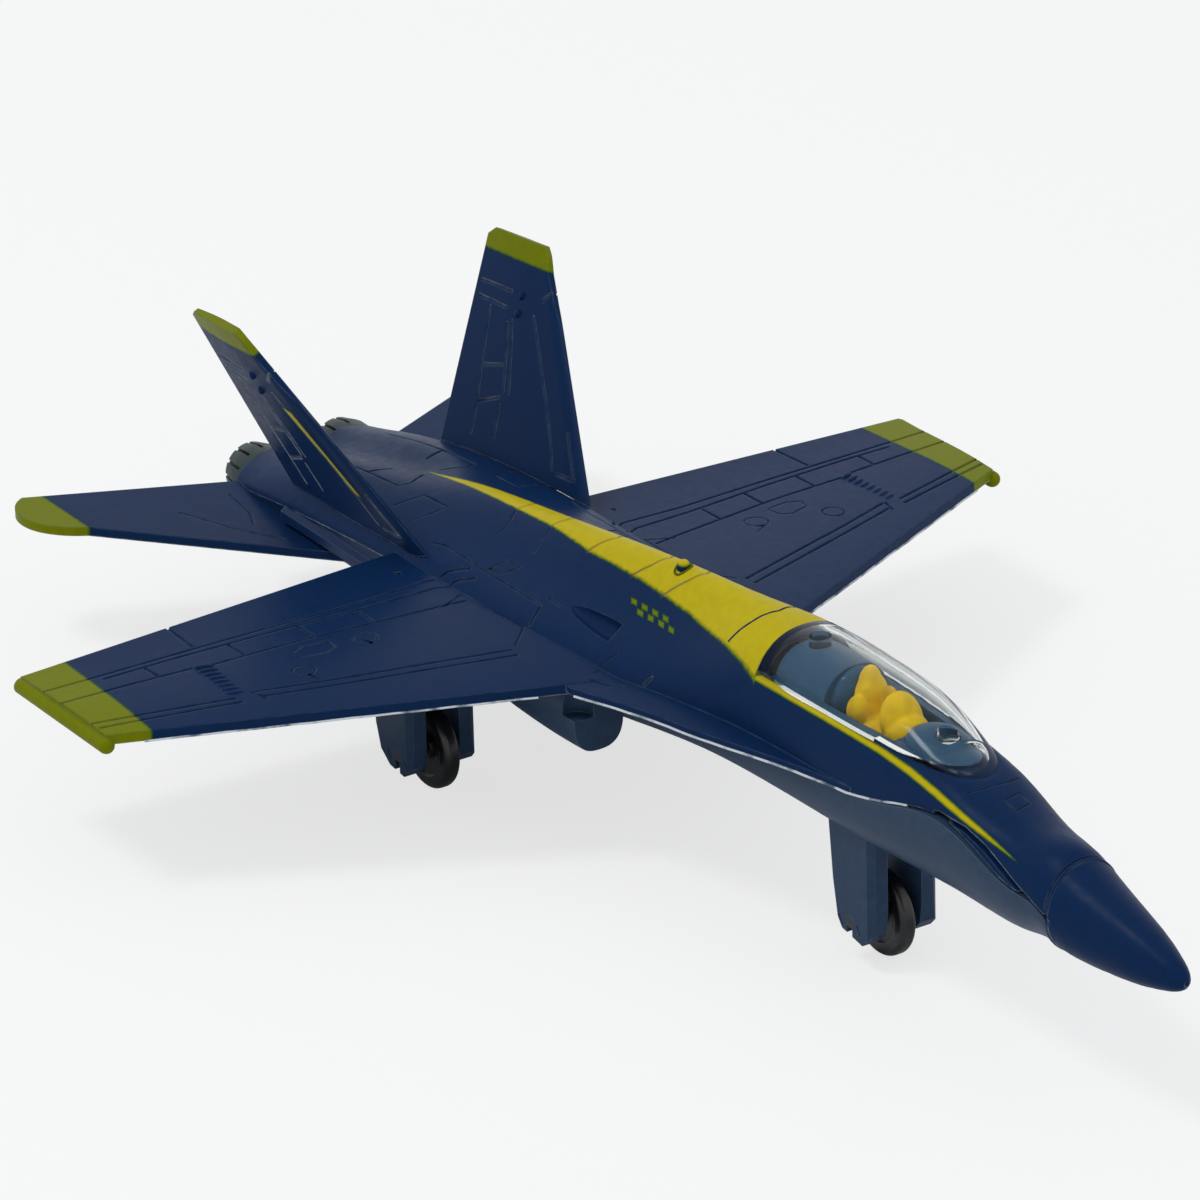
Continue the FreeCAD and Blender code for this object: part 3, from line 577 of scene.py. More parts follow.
# Where the casting's paint changes colour: (x, value) along the airplane.
SPINE_HALF_WIDTH = ((-56, -0.6), (-53.7, 0.1), (-47.7, 0.5), (-40.9, 0.95), (-33, 1.3), (-25.3, 1.65),
                    (-20.8, 2.15), (-16, 2.65), (-6.7, 3.0), (0, 3.35), (5.9, 3.8), (11.4, 4.7), (16.7, 5.7),
                    (20.1, 6.3), (24, 6.9))
SPINE_FRONT, SPINE_FOOT = 22.5, 23.0
SPINE_STEP = 12.0                  # ahead of this, faces that look forward stay navy
SILL_HEIGHT = ((22, 29.2), (31.3, 29.1), (37.7, 28.9), (44.4, 28.65), (49.4, 28.2), (54.1, 27.45),
               (58.6, 26.45), (62.6, 25.5), (68, 24.3))
SILL_REACH = ((22, 6.2), (31.3, 6.0), (37.7, 5.7), (44.4, 5.35), (49.4, 5.2), (54.1, 5.1), (58.6, 4.9),
              (62.6, 4.5), (68, 4.1))
SILL_HALF_WIDTH = ((22, 0.60), (32, 0.50), (42, 0.42), (50, 0.48), (57, 0.46), (62, 0.34), (68, 0.0))
SILL_BACK, SILL_FRONT, SILL_INNER = 22.3, 68.0, 3.0
SILL_RUN = (22, 68)
LOUVRE_ROWS = ((-4.0, 27.55), (-2.05, 27.08))      # where each row starts: x and z
LOUVRE_PITCH, LOUVRE_HALF_LENGTH, LOUVRE_HALF_HEIGHT = 2.12, 0.62, 0.24
LOUVRE_CLIMB, LOUVRE_SLANT = 0.06, 1.1             # of a row, and of each mark in it
LOUVRE_OUTER = 7.0
TIP_BAND, TIP_BAND_RAKE = 56.5, 0.055              # inner edge of the wing tip colour

# And the fins' paint, with heights measured up the fin.
FIN_TIP, FIN_TIP_RAKE = 27.5, 0.08
STRIPE_FOOT, STRIPE_TOP = 6.4, 15.8
STRIPE_X, STRIPE_START, STRIPE_SWEEP = -46.8, 6.6, -0.967
STRIPE_HALF_WIDTH, STRIPE_SPREAD = 0.24, 0.045
STABILATOR_TIP = 31.2


def spine_area(n, x, side, z):
    """Distance inside the yellow spine."""
    area = n.curve(x, SPINE_HALF_WIDTH, (-56, 24), (-1, 7))
    area = n.math("MINIMUM", n.math("SUBTRACT", area, side), n.math("SUBTRACT", SPINE_FRONT, x))
    area = n.math("MINIMUM", area, n.math("SUBTRACT", z, SPINE_FOOT))
    normal = n.add("ShaderNodeNewGeometry").outputs["True Normal"]
    facing = n.add("ShaderNodeSeparateXYZ", {0: normal}).outputs[0]
    off_front = n.math("MULTIPLY", n.math("SUBTRACT", 0.7, facing), 8.0)
    off_front = n.math("MAXIMUM", off_front, n.math("SUBTRACT", SPINE_STEP, x))
    return n.math("MINIMUM", area, off_front)


def sill_area(n, x, side, z):
    """Distance inside the stripe that follows the cockpit sill."""
    height = n.curve(x, SILL_HEIGHT, SILL_RUN, (24, 30))
    reach = n.curve(x, SILL_REACH, SILL_RUN, (3, 7))
    half = n.curve(x, SILL_HALF_WIDTH, SILL_RUN, (-0.1, 0.7))
    offset = {0: n.math("SUBTRACT", side, reach), 1: n.math("SUBTRACT", z, height)}
    offset = n.add("ShaderNodeCombineXYZ", offset).outputs[0]
    away = n.add("ShaderNodeVectorMath", {0: offset}, operation="LENGTH").outputs["Value"]
    area = n.math("SUBTRACT", half, away)
    area = n.math("MINIMUM", area, n.math("SUBTRACT", x, SILL_BACK))
    area = n.math("MINIMUM", area, n.math("SUBTRACT", side, SILL_INNER))
    return n.math("MINIMUM", area, n.math("SUBTRACT", SILL_FRONT, x))


def louvre_area(n, x, side, z, start, level):
    """Distance inside a row of four slanting marks beside the spine."""
    row = n.math("MULTIPLY_ADD", n.math("SUBTRACT", x, start), LOUVRE_CLIMB, level)
    up = n.math("SUBTRACT", z, row)
    across = n.math("MULTIPLY_ADD", up, LOUVRE_SLANT, n.math("SUBTRACT", x, start - LOUVRE_PITCH / 2))
    inside = n.math("COMPARE", across, LOUVRE_PITCH * 2, 4.2)
    cell = n.math("FLOORED_MODULO", across, LOUVRE_PITCH)
    cell = n.math("ABSOLUTE", n.math("SUBTRACT", cell, LOUVRE_PITCH / 2))
    along = n.math("SUBTRACT", LOUVRE_HALF_LENGTH, cell)
    upright = n.math("SUBTRACT", LOUVRE_HALF_HEIGHT, n.math("ABSOLUTE", up))
    area = n.math("MINIMUM", along, n.math("MULTIPLY", upright, 2.0))
    area = n.math("MINIMUM", area, n.math("SUBTRACT", LOUVRE_OUTER, side))
    return n.math("SUBTRACT", area, n.math("MULTIPLY", n.math("SUBTRACT", 1.0, inside), 9.0))


def casting_paint():
    """Navy paint with the yellow spine, sill stripe, louvre marks and wing tips."""
    material, n = new_material("casting_paint")
    place, x, y, z = n.millimetres()
    side = n.math("ABSOLUTE", y)
    on_tip = n.math("SUBTRACT", side, n.math("MULTIPLY_ADD", x, TIP_BAND_RAKE, TIP_BAND))
    color = sprayed(n, NAVY, place, spine_area(n, x, side, z), YELLOW)
    color = sprayed(n, color, place, sill_area(n, x, side, z), YELLOW, 0.05)
    color = sprayed(n, color, place, on_tip, OLIVE)
    for start, level in LOUVRE_ROWS:
        color = sprayed(n, color, place, louvre_area(n, x, side, z, start, level), OLIVE, 0.08)
    navy_finish(n, color)
    return material


def lamp_paint_and_side_shade(foot):
    """Yellow on top, with navy down the sides as painted shade."""
    material, n = new_material("lamp_paint_and_side_shade")
    place, *_, z = n.millimetres()
    navy_finish(n, sprayed(n, NAVY, place, n.math("SUBTRACT", z, foot + 0.35), YELLOW, 0.1))
    return material


def fin_paint():
    """Navy with the yellow tip, and a thin stripe on the outer face."""
    material, n = new_material("fin_paint")
    place, x, y, z = n.millimetres()
    side = n.math("ABSOLUTE", y)
    sin, cos = math.sin(FIN_CANT), math.cos(FIN_CANT)
    off_root = n.math("SUBTRACT", side, FIN_ROOT.y)
    up_root = n.math("SUBTRACT", z, FIN_ROOT.z)
    height = n.math("ADD", n.math("MULTIPLY", off_root, sin), n.math("MULTIPLY", up_root, cos))
    outward = n.math("SUBTRACT", n.math("MULTIPLY", off_root, cos), n.math("MULTIPLY", up_root, sin))
    tip = n.math("SUBTRACT", height, n.math("MULTIPLY_ADD", x, FIN_TIP_RAKE, FIN_TIP))
    color = sprayed(n, NAVY, place, tip, OLIVE)
    middle = n.math("MULTIPLY_ADD", n.math("SUBTRACT", height, STRIPE_START), STRIPE_SWEEP, STRIPE_X)
    width = n.math("MULTIPLY_ADD", height, STRIPE_SPREAD, STRIPE_HALF_WIDTH)
    stripe = n.math("SUBTRACT", width, n.math("ABSOLUTE", n.math("SUBTRACT", x, middle)))
    stripe = n.math("MINIMUM", stripe, n.math("SUBTRACT", height, STRIPE_FOOT))
    stripe = n.math("MINIMUM", stripe, n.math("SUBTRACT", STRIPE_TOP, height))
    stripe = n.math("MINIMUM", stripe, n.math("MULTIPLY", outward, 4.0))
    color = sprayed(n, color, place, stripe, YELLOW, 0.04)
    navy_finish(n, color, rub_and_glint=0.34)
    return material


def stabilator_paint():
    """Navy with a yellow tip."""
    material, n = new_material("stabilator_paint")
    place, _, y, _ = n.millimetres()
    tip = n.math("SUBTRACT", n.math("ABSOLUTE", y), STABILATOR_TIP)
    navy_finish(n, sprayed(n, NAVY, place, tip, OLIVE))
    return material


def groove_shade_paint():
    """The bottom of an engraved line, darkened as painted shade."""
    material, n = new_material("groove_shade_paint")
    _, x, y, _ = n.millimetres()
    side = n.math("ABSOLUTE", y)
    on_tip = n.math("GREATER_THAN", side, 54.6)
    spine = n.curve(x, ((-56, 0), (-33, 1.2), (-16, 2.5), (0, 3.2), (11, 4.5), (22, 6.4)), (-56, 22), (0, 7))
    on_spine = n.math("MULTIPLY", n.math("GREATER_THAN", spine, side), n.math("LESS_THAN", x, 22.3))
    color = n.mix(n.math("MAXIMUM", on_tip, on_spine), GROOVE_SHADE_NAVY, GROOVE_SHADE_YELLOW)
    grain = n.group(SURFACE_GRAIN, {"Fine": 0.1, "Wave": 0.1})
    n.surface(color, 0.6, grain["Normal"], Specular_IOR_Level=0.04)
    return material


def moulded(name, color, rubbed_and_lit, roughness=0.35, specular=0.35, rub_and_glint=0.4, fine=0.06, wave=0.2, mottle=0.12,
            overspray=None):
    """A moulded plastic with lighter edges, partly rubbed and partly painted highlight, and slow unevenness.

    Overspray is where navy paint reaches it: behind one x and above one z.
    """
    material, n = new_material(name)
    rub_and_highlight = n.group(EDGE_RUB_AND_HIGHLIGHT, {"Radius": 0.00018, "Patchiness": 0.5})
    grain = n.group(SURFACE_GRAIN, {"Normal": rub_and_highlight["Normal"], "Fine": fine, "Wave": wave})
    tinted = n.scaled(color[:3], n.fade(grain["Mottle"], 0.3, 0.7, 1 - mottle, 1 + mottle))
    if overspray:
        behind, above = overspray
        place, x, _, z = n.millimetres()
        depth = n.math("MINIMUM", n.math("SUBTRACT", behind, x), n.math("SUBTRACT", z, above))
        cover = n.fade(n.math("ADD", depth, n.noise(place, 1.2, 4.0)), 0.3, 0.9)
        tinted = n.mix(cover, tinted, NAVY)
    # Edges lightened toward the rubbed colour: part wear, part painted highlight.
    tinted = n.mix(n.math("MULTIPLY", rub_and_highlight["Mask"], rub_and_glint), tinted, rubbed_and_lit)
    rough = n.math("MULTIPLY_ADD", n.math("SUBTRACT", grain["Mottle"], 0.5), 0.2, roughness)
    n.surface(tinted, rough, grain["Normal"], Specular_IOR_Level=specular)
    return material


def clear_plastic():
    """The canopy: clear, with a few smears."""
    material, n = new_material("clear_plastic")
    grain = n.group(SURFACE_GRAIN, {"Fine": 0.01, "Wave": 0.10})
    smear = n.fade(grain["Mottle"], 0.4, 0.75, 0.01, 0.06)
    n.surface((0.80, 0.83, 0.82, 1), smear, grain["Normal"], IOR=1.17, Transmission_Weight=1.0)
    return material


def steel():
    """Blued steel with a turned lay."""
    material, n = new_material("axle_steel")
    place, *_ = n.millimetres()
    drawn = n.add("ShaderNodeVectorMath", {0: place, 1: (0.3, 6.0, 6.0)}, operation="MULTIPLY").outputs[0]
    lay = n.noise(drawn, 1.5, 3.0)
    tone = n.mix(lay, (0.030, 0.036, 0.048, 1), (0.060, 0.068, 0.085, 1))
    bump = n.add("ShaderNodeBump", {"Height": lay, "Distance": 0.00003, "Strength": 0.6}).outputs[0]
    n.surface(tone, 0.42, bump, Metallic=0.7)
    return material


def bare_flash_and_highlight():
    """The thin line along a casting's edge where the paint is rubbed off, bright partly as painted highlight."""
    material, n = new_material("bare_flash_and_highlight")
    place, *_ = n.millimetres()
    patch = n.fade(n.noise(place, 0.35, 5.0), 0.36, 0.52)
    tone = n.mix(patch, (0.05, 0.09, 0.15, 1), BARE_METAL_AND_GLINT)
    grain = n.noise(place, 5.0, 3.0)
    bump = n.add("ShaderNodeBump", {"Height": grain, "Distance": 0.00005, "Strength": 0.6}).outputs[0]
    n.surface(tone, 0.4, bump, Metallic=0.2, Specular_IOR_Level=0.4)
    return material


casting = casting_paint()
groove_shade = groove_shade_paint()
fins = fin_paint()
stabilators = stabilator_paint()
slate = moulded("slate_plastic", (0.024, 0.050, 0.098, 1), (0.20, 0.27, 0.35, 1), rub_and_glint=0.5, specular=0.12,
                overspray=(-44.0, 16.0))
# Painted shade: a darker slate for the lower moulding's engraved lines.
slate_groove_shade = moulded("slate_groove_shade", (0.006, 0.015, 0.042, 1), (0.05, 0.08, 0.12, 1), roughness=0.6, specular=0.1)
tub_plastic = moulded("tub_plastic", (0.022, 0.085, 0.175, 1), (0.08, 0.20, 0.33, 1), specular=0.2, fine=0.015)
figure_plastic = moulded("figure_plastic", (0.90, 0.56, 0.002, 1), (0.95, 0.70, 0.02, 1),
                         roughness=0.45, specular=0.15)
nozzle_plastic = moulded("nozzle_plastic", (0.020, 0.034, 0.036, 1), (0.16, 0.20, 0.20, 1),
                         roughness=0.42, specular=0.2)
wheel_plastic = moulded("wheel_plastic", (0.008, 0.008, 0.009, 1), (0.06, 0.06, 0.06, 1),
                        roughness=0.3, specular=0.45)
clear = clear_plastic()
bare_steel = steel()
flash_and_highlight = bare_flash_and_highlight()

# --------------------------------------------------------------- upper casting
skin = merged("upper_shell", "upper_casting")

# Panel lines, as paths in plan that rays then lay on the surface. Those that
# come in pairs are given for one side only.
WING_LINES = [
    [(-29.9, 9.8, 0), (-32.2, 11.2, 0), (-33.4, 13.2, 0), (-34.0, 21.4, 0), (-36.2, 36, 0), (-38.6, 54, 0),
     (-39.4, 59.4, 0)],
    [(-27.9, 10.4, 0), (-30.0, 11.6, 0), (-31.2, 13.6, 0), (-32.3, 21.5, 0), (-34.7, 34, 0), (-36.6, 46, 0),
     (-37.4, 53, 0)],
    [(-26.0, 13.0, 0), (-26.9, 16.5, 0), (-28.6, 24, 0), (-30.4, 32, 0), (-32.0, 42.6, 0)],
    [(-32.8, 44.6, 0), (-34.2, 52, 0), (-35.4, 59.4, 0)],
    [(-12.0, 15.8, 0), (-16.2, 26, 0), (-19.4, 34, 0), (-22.9, 42.0, 0)],
    [(-10.6, 16.0, 0), (-13.3, 22.6, 0), (-17.6, 33, 0), (-21.4, 41.9, 0)],
    [(-23.2, 44.8, 0), (-26.0, 52, 0), (-28.8, 59.4, 0)],
    [(-22.0, 44.6, 0), (-24.8, 52, 0), (-27.4, 59.2, 0)],
]
WING_TICKS = [
    [(-32.0, 23.3, 0), (-28.9, 23.3, 0)],
    [(-33.5, 30.2, 0), (-30.4, 30.2, 0)],
    [(-34.9, 38.4, 0), (-31.7, 38.4, 0)],
    [(-36.4, 48.3, 0), (-34.0, 48.3, 0)],
    [(-43.6, 41.2, 0), (-37.6, 41.6, 0)],
    [(-22.9, 42.5, 0), (-20.9, 42.0, 0)],
]
WING_CAP = [ring(-23.6, 35.6, 1.3)]
WING_MARKS = [
    ring(-25.6, 26.3, 1.4),
    ring(-37.5, 14.6, 0.25, 8),
    [(-28.3, 29.9, 0), (-28.9, 32.6, 0), (-28.2, 34.4, 0), (-26.6, 34.0, 0), (-25.6, 31.4, 0), (-26.2, 29.9, 0),
     (-28.0, 29.7, 0)],
]
ROOT_LINES = [
    [(-26.3, -15.6, 0), (-27.7, -12.3, 0), (-15.6, -11.8, 0), (-12.6, -14.8, 0)],
    [(-38.0, -9.4, 0), (-35.9, -8.9, 0), (-26.3, -9.1, 0), (-16.3, -9.1, 0)],
    [(-27.6, -8.4, 0), (-26.6, -6.6, 0), (-24.2, -6.6, 0), (-25.2, -8.4, 0), (-27.5, -8.5, 0)],
    [(-48.9, -7.8, 0), (-47.3, -4.7, 0), (-42.4, -4.7, 0), (-43.9, -8.1, 0)],
    [(-70.5, -4.9, 0), (-58.4, -5.2, 0), (-52.2, -5.2, 0), (-51.6, -3.8, 0), (-53.2, -1.2, 0)],
    [(-0.4, -12.6, 0), (1.8, -12.0, 0), (4.2, -10.4, 0), (6.0, -9.0, 0)],
    [(-1.6, -11.4, 0), (-1.7, -10.1, 0), (-0.9, -9.0, 0)],
]
SPINE_LINES = [
    [(-32.3, -2.6, 0), (-33.0, -1.3, 0), (-32.5, 0, 0), (-33.0, 1.3, 0), (-32.3, 2.6, 0)],
    [(-24.6, -3.0, 0), (-25.3, -1.6, 0), (-24.5, 0, 0), (-25.3, 1.6, 0), (-24.6, 3.0, 0)],
    [(-16.3, -2.6, 0), (-15.1, -1.3, 0), (-13.9, 0, 0), (-15.1, 1.3, 0), (-16.3, 2.6, 0)],
    [(-6.9, -3.1, 0), (-4.7, -1.6, 0), (-3.4, 0, 0), (-4.7, 1.6, 0), (-6.9, 3.1, 0)],
    [(-0.2, -3.4, 0), (2.5, -1.6, 0), (3.9, 0, 0), (2.5, 1.6, 0), (-0.2, 3.4, 0)],
    [(15.3, -5.0, 0), (16.8, -3.0, 0), (17.8, 0, 0), (16.8, 3.0, 0), (15.3, 5.0, 0)],
]
STEP_LINES = [
    [(-15.0, -11.2, 0), (-15.9, -9.4, 0)],
    [(-58.2, -2.5, 0), (-58.9, -5.0, 0)],
]

NOSE_LINES = [
    [(56.9, -3.4, 0), (57.5, -1.4, 0), (57.6, 1.8, 0), (57.2, 3.2, 0)],
    [(59.9, -0.5, 0), (59.5, 1.6, 0), (61.3, 1.8, 0), (61.9, -0.4, 0), (60.2, -0.6, 0)],
]
CHEEK_EDGE = [(51.3, 8, 24.7), (55.2, 8, 25.6), (59.2, 8, 25.4), (62.4, 8, 24.5), (66.8, 8, 22.7), (71.1, 8, 21.0),
              (73.0, 8, 20.2)]
SIDE_LINES = [
    [(-32.0, 2.6, 26.9), (-31.6, 4.3, 25.7)],
    [(-24.6, 3.4, 27.0), (-24.3, 4.6, 26.0)],
    [(-16.0, 8.0, 24.4), (-13.0, 8.1, 24.3)],
]
UNDERWING_LINES = [
    [(-33.6, 14.2, 0), (-36.0, 34, 0), (-37.4, 42.0, 0)],
    [(-38.0, 44.8, 0), (-39.2, 55, 0)],
    [(-13.6, 17.0, 0), (-20.4, 35, 0), (-23.0, 42.0, 0)],
    [(-23.6, 43.4, 0), (-44.0, 43.2, 0)],
]
BELLY_LINES = [
    [(42.4, 3.0, 0), (52.4, 2.7, 0), (54.0, 1.2, 0), (54.0, -1.2, 0), (52.4, -2.7, 0), (42.4, -3.0, 0)],
    [(42.6, 0, 0), (52.0, 0, 0)],
    [(63.0, -3.4, 0), (63.4, 0, 0), (63.0, 3.4, 0)],
    [(24.0, -5.6, 0), (24.0, 5.6, 0)],
    [(5.0, -5.4, 0), (5.0, 5.4, 0)],
    [(2.6, 4.6, 0), (-20.0, 5.0, 0), (-48.0, 5.2, 0)],
    [(2.6, -4.6, 0), (-20.0, -5.0, 0), (-48.0, -5.2, 0)],
    [(-50.4, -7.2, 0), (-50.4, 7.2, 0)],
    [(-76.0, 1.5, 0), (-55.0, 1.5, 0), (-53.4, 0, 0), (-55.0, -1.5, 0), (-76.0, -1.5, 0)],
]

engrave(skin, both_sides(WING_LINES), DOWN, *PANEL_CUT)
engrave(skin, both_sides(WING_TICKS) + both_sides(STEP_LINES), DOWN, *PANEL_CUT)
engrave(skin, both_sides(WING_CAP) + both_sides(ROOT_LINES) + SPINE_LINES, DOWN, *CAP_CUT)
engrave(skin, both_sides(WING_MARKS), DOWN, *MARK_CUT)
engrave(skin, NOSE_LINES, DOWN, *NOSE_CUT)
engrave(skin, both_sides(UNDERWING_LINES), UP, *UNDER_CUT)
for hand in (-1, 1):
    outward = Vector((0, hand, 0))
    cheek = [[(x, hand * y, z) for x, y, z in CHEEK_EDGE]]
    engrave(skin, cheek, -outward, *CHEEK_CUT)
    side = [[(x, hand * y, z) for x, y, z in path] for path in SIDE_LINES]
    slant = Vector((0, hand * 0.6, 0.8))
    engrave(skin, side, -slant, *SIDE_CUT)
    channel = moulding("channel", [((CHANNEL.x, hand * CHANNEL.y, CHANNEL.z), (9.0, 1.25, 1.35), 0)], smoothing=0)
    ahead = block("ahead", (CHANNEL.x, CHANNEL.x + 20), (0, hand * 20), (10, 40))
    combine(channel, ahead, "DIFFERENCE")
    combine(skin, as_cutter(channel), "DIFFERENCE")

dress(skin, "upper_shell", "airframe", "cast_navy", casting, groove_shade)

# Raised details of the casting: a lamp on the spine, hinge ribs on the wings,
# bare edges along the strakes and wings that also carry a painted highlight, and a ring behind the nose cone.
ribs = rib_row_tree()
skin_face = surface_of(skin)
lamp_foot = height_at(skin_face, 0, LAMP_Y)
lamp = hull("spine_lamp", [(0.85 * c * k, LAMP_Y + 0.75 * s * k, lamp_foot + h)
                           for c, s in around(60) for k, h in ((1.0, -0.4), (1.0, 0.45), (0.75, 0.8))])
add_on(rounded(lamp, 0.12), "airframe", lamp_paint_and_side_shade(lamp_foot))
for hand, name in SIDES:
    first = Vector((-32.1, hand * 43.3, height_at(skin_face, -30.0, hand * 43.4) - 0.02))
    hinge = grown(ribs, name + "_hinge_ribs", Start=first * MM, Step=Vector((1.12, hand * 0.09, 0)) * MM, Count=8,
                  Size=Vector((0.30, 1.15, 0.26)) * MM, Turn=hand * math.radians(28), Material=casting)
    add_on(hinge, "airframe", casting)

for hand, name in SIDES:
    inward, backward = Vector((0, -hand, 0)), Vector((-1, 0, 0))
    edge = [outermost(skin_face, (x, hand * 40), inward, 20.0, 25.5) for x in range(0, 52, 2)]
    # Beads along the strake and wing edges: bare metal, also coloured light as a painted highlight.
    add_on(tube(name + "_strake_flash_and_highlight", edge, 0.15), "airframe", flash_and_highlight)
    edge = [outermost(skin_face, (40, hand * y), backward, 16.0, 23.0) for y in range(18, 58, 2)]
    add_on(tube(name + "_wing_flash_and_highlight", edge, 0.13), "airframe", flash_and_highlight)

# A dark ring round the lamp's foot, in the engraved lines' colour: painted shade where the lamp meets the spine.
lamp_shade_ring = [(c, LAMP_Y + 0.95 * s, height_at(skin_face, c, LAMP_Y + 0.95 * s)) for c, s in around(20)]
add_on(tube("spine_lamp_shade_ring", lamp_shade_ring, 0.16, closed=True), "airframe", groove_shade)

nose_ring = [(NOSE_RING.x, 4.6 * c, NOSE_RING.z + 5.05 * s) for c, s in around(6)]
add_on(tube("nose_ring", nose_ring, 0.24, closed=True), "airframe", casting)

# ----------------------------------------------------------- lower moulding
belly = merged("lower_shell", "lower_moulding")
LEGS = (36.8, -26.4)               # x of the nose and main axles
CRIMPS = ((-1.9, 5.0), (-0.9, 4.3), (0.4, 4.2), (1.4, 4.9))        # round each axle end, from the leg
for hand in (-1, 1):
    for leg in LEGS:
        crimps = [[(leg + x, hand * 30, z), (leg + x + 0.5, hand * 30, z - 0.8)] for x, z in CRIMPS]
        engrave(belly, crimps, Vector((0, -hand, 0)), *CRIMP_CUT)
engrave(belly, BELLY_LINES, UP, *UNDER_CUT)
dress(belly, "lower_shell", "airframe", "plastic_slate", slate, slate_groove_shade)

# A low oval pad under each nozzle's spigot.
belly_face = surface_of(belly)
for hand, name in SIDES:
    pad = []
    for c, s in around(20):
        along, across = 2.1 * c, 1.7 * s
        low = depth_at(belly_face, SPIGOT_PAD.x + along, hand * (SPIGOT_PAD.y + across))
        pad += [(SPIGOT_PAD.x + along * k, hand * (SPIGOT_PAD.y + across * k), low + h)
                for k, h in ((1.0, 0.3), (1.0, 0.0), (0.86, -0.18))]
    add_on(rounded(hull(name + "_spigot_pad", pad), 0.08), "airframe", slate)

# ------------------------------------------------------------------ tail pieces
FIN_LINES = [
    [(-61.7, 15.2), (-60.3, 12.4), (-59.1, 9.7), (-58.3, 7.9)],
    [(-61.0, 15.7), (-59.4, 12.6), (-58.1, 10.0), (-57.2, 8.1)],
    [(-58.2, 6.2), (-57.2, 2.8)],
    [(-66.1, 15.8), (-64.6, 10.9), (-62.8, 5.7), (-61.8, 1.7)],
    [(-57.4, 17.4), (-54.3, 14.0), (-50.3, 9.6), (-47.2, 6.0), (-45.0, 3.0)],
    [(-69.4, 18.2), (-66.6, 18.5), (-63.0, 18.8)],
    [(-68.9, 16.4), (-66.5, 16.6), (-63.0, 16.8)],
    [(-44.4, 7.4), (-42.9, 5.6), (-40.4, 3.0), (-43.8, 2.7)],
]
FIN_TICKS = [
    [(-62.3, 5.4), (-58.8, 7.0)],
    [(-63.4, 9.6), (-60.2, 10.6)],
    [(-56.9, 19.6), (-55.9, 20.9)],
]
FIN_BUMPS = [[(-60.8, 18.9)], [(-60.4, 16.8)]]
STABILATOR_LINES = [
    [(-76.9, 13.3, 0), (-71.4, 13.9, 0), (-68.4, 15.2, 0)],
    [(-76.0, 20.6, 0), (-68.4, 17.8, 0), (-62.6, 14.6, 0)],
]


def on_fin(lines, hand):
    """Lines given along the chord and up the fin, on its middle plane."""
    sin, cos = math.sin(FIN_CANT), math.cos(FIN_CANT)
    return [[(x, hand * (FIN_ROOT.y + h * sin), FIN_ROOT.z + h * cos) for x, h in path] for path in lines]


for hand, name in SIDES:
    fin = merged(name + "_fin", name + "_fin_moulding")
    inward = Vector((0, -hand * math.cos(FIN_CANT), math.sin(FIN_CANT)))
    for face in (inward, -inward):
        engrave(fin, on_fin(FIN_LINES, hand), -face, *FIN_CUT)
        engrave(fin, on_fin(FIN_TICKS, hand), -face, *FIN_CUT)
    dress(fin, name + "_fin", "airframe", "plastic_navy", fins, groove_shade)
    fin_face = surface_of(fin)
    for face, side in ((inward, "inner"), (-inward, "outer")):
        (high,), (low,) = on_fin(FIN_BUMPS, hand)
        spots = [fin_face.ray_cast(Vector(p) * MM + face * RAY_RUN, -face)[0] for p in (high, low)]
        bumps = grown(ribs, f"{name}_{side}_fin_bumps", Start=spots[0], Step=spots[1] - spots[0], Count=2,
                      Size=Vector((0.55, 0.35, 0.55)) * MM, Turn=0.0, Material=fins)
        add_on(bumps, "airframe", fins)

    stabilator = merged(name + "_stabilator", name + "_stabilator_moulding")
    lines = STABILATOR_LINES if hand > 0 else flipped(STABILATOR_LINES)
    engrave(stabilator, lines, DOWN, *STABILATOR_CUT)
    dress(stabilator, name + "_stabilator", "airframe", "plastic_navy", stabilators, groove_shade)

    nozzle = merged(name + "_nozzle", name + "_nozzle_moulding")
    dress(nozzle, name + "_nozzle", "airframe", "plastic_dark", nozzle_plastic, angle=25)

# -------------------------------------------------------------------- cockpit
hood = merged("canopy", "canopy_moulding")
combine(hood, moulding("front_room", [((49.5, 0, 28.4), (5.2, 3.5, 1.65), 0)], smoothing=0), "DIFFERENCE")
dress(hood, "canopy", "airframe", "clear", clear, angle=40)
tub = merged("cockpit_tub", "tub_moulding")
combine(tub, block("dash_room", (44.1, 54), (-6, 6), (29.25, 36)), "DIFFERENCE")
dress(tub, "cockpit_tub", "airframe", "plastic_steel_blue", tub_plastic)

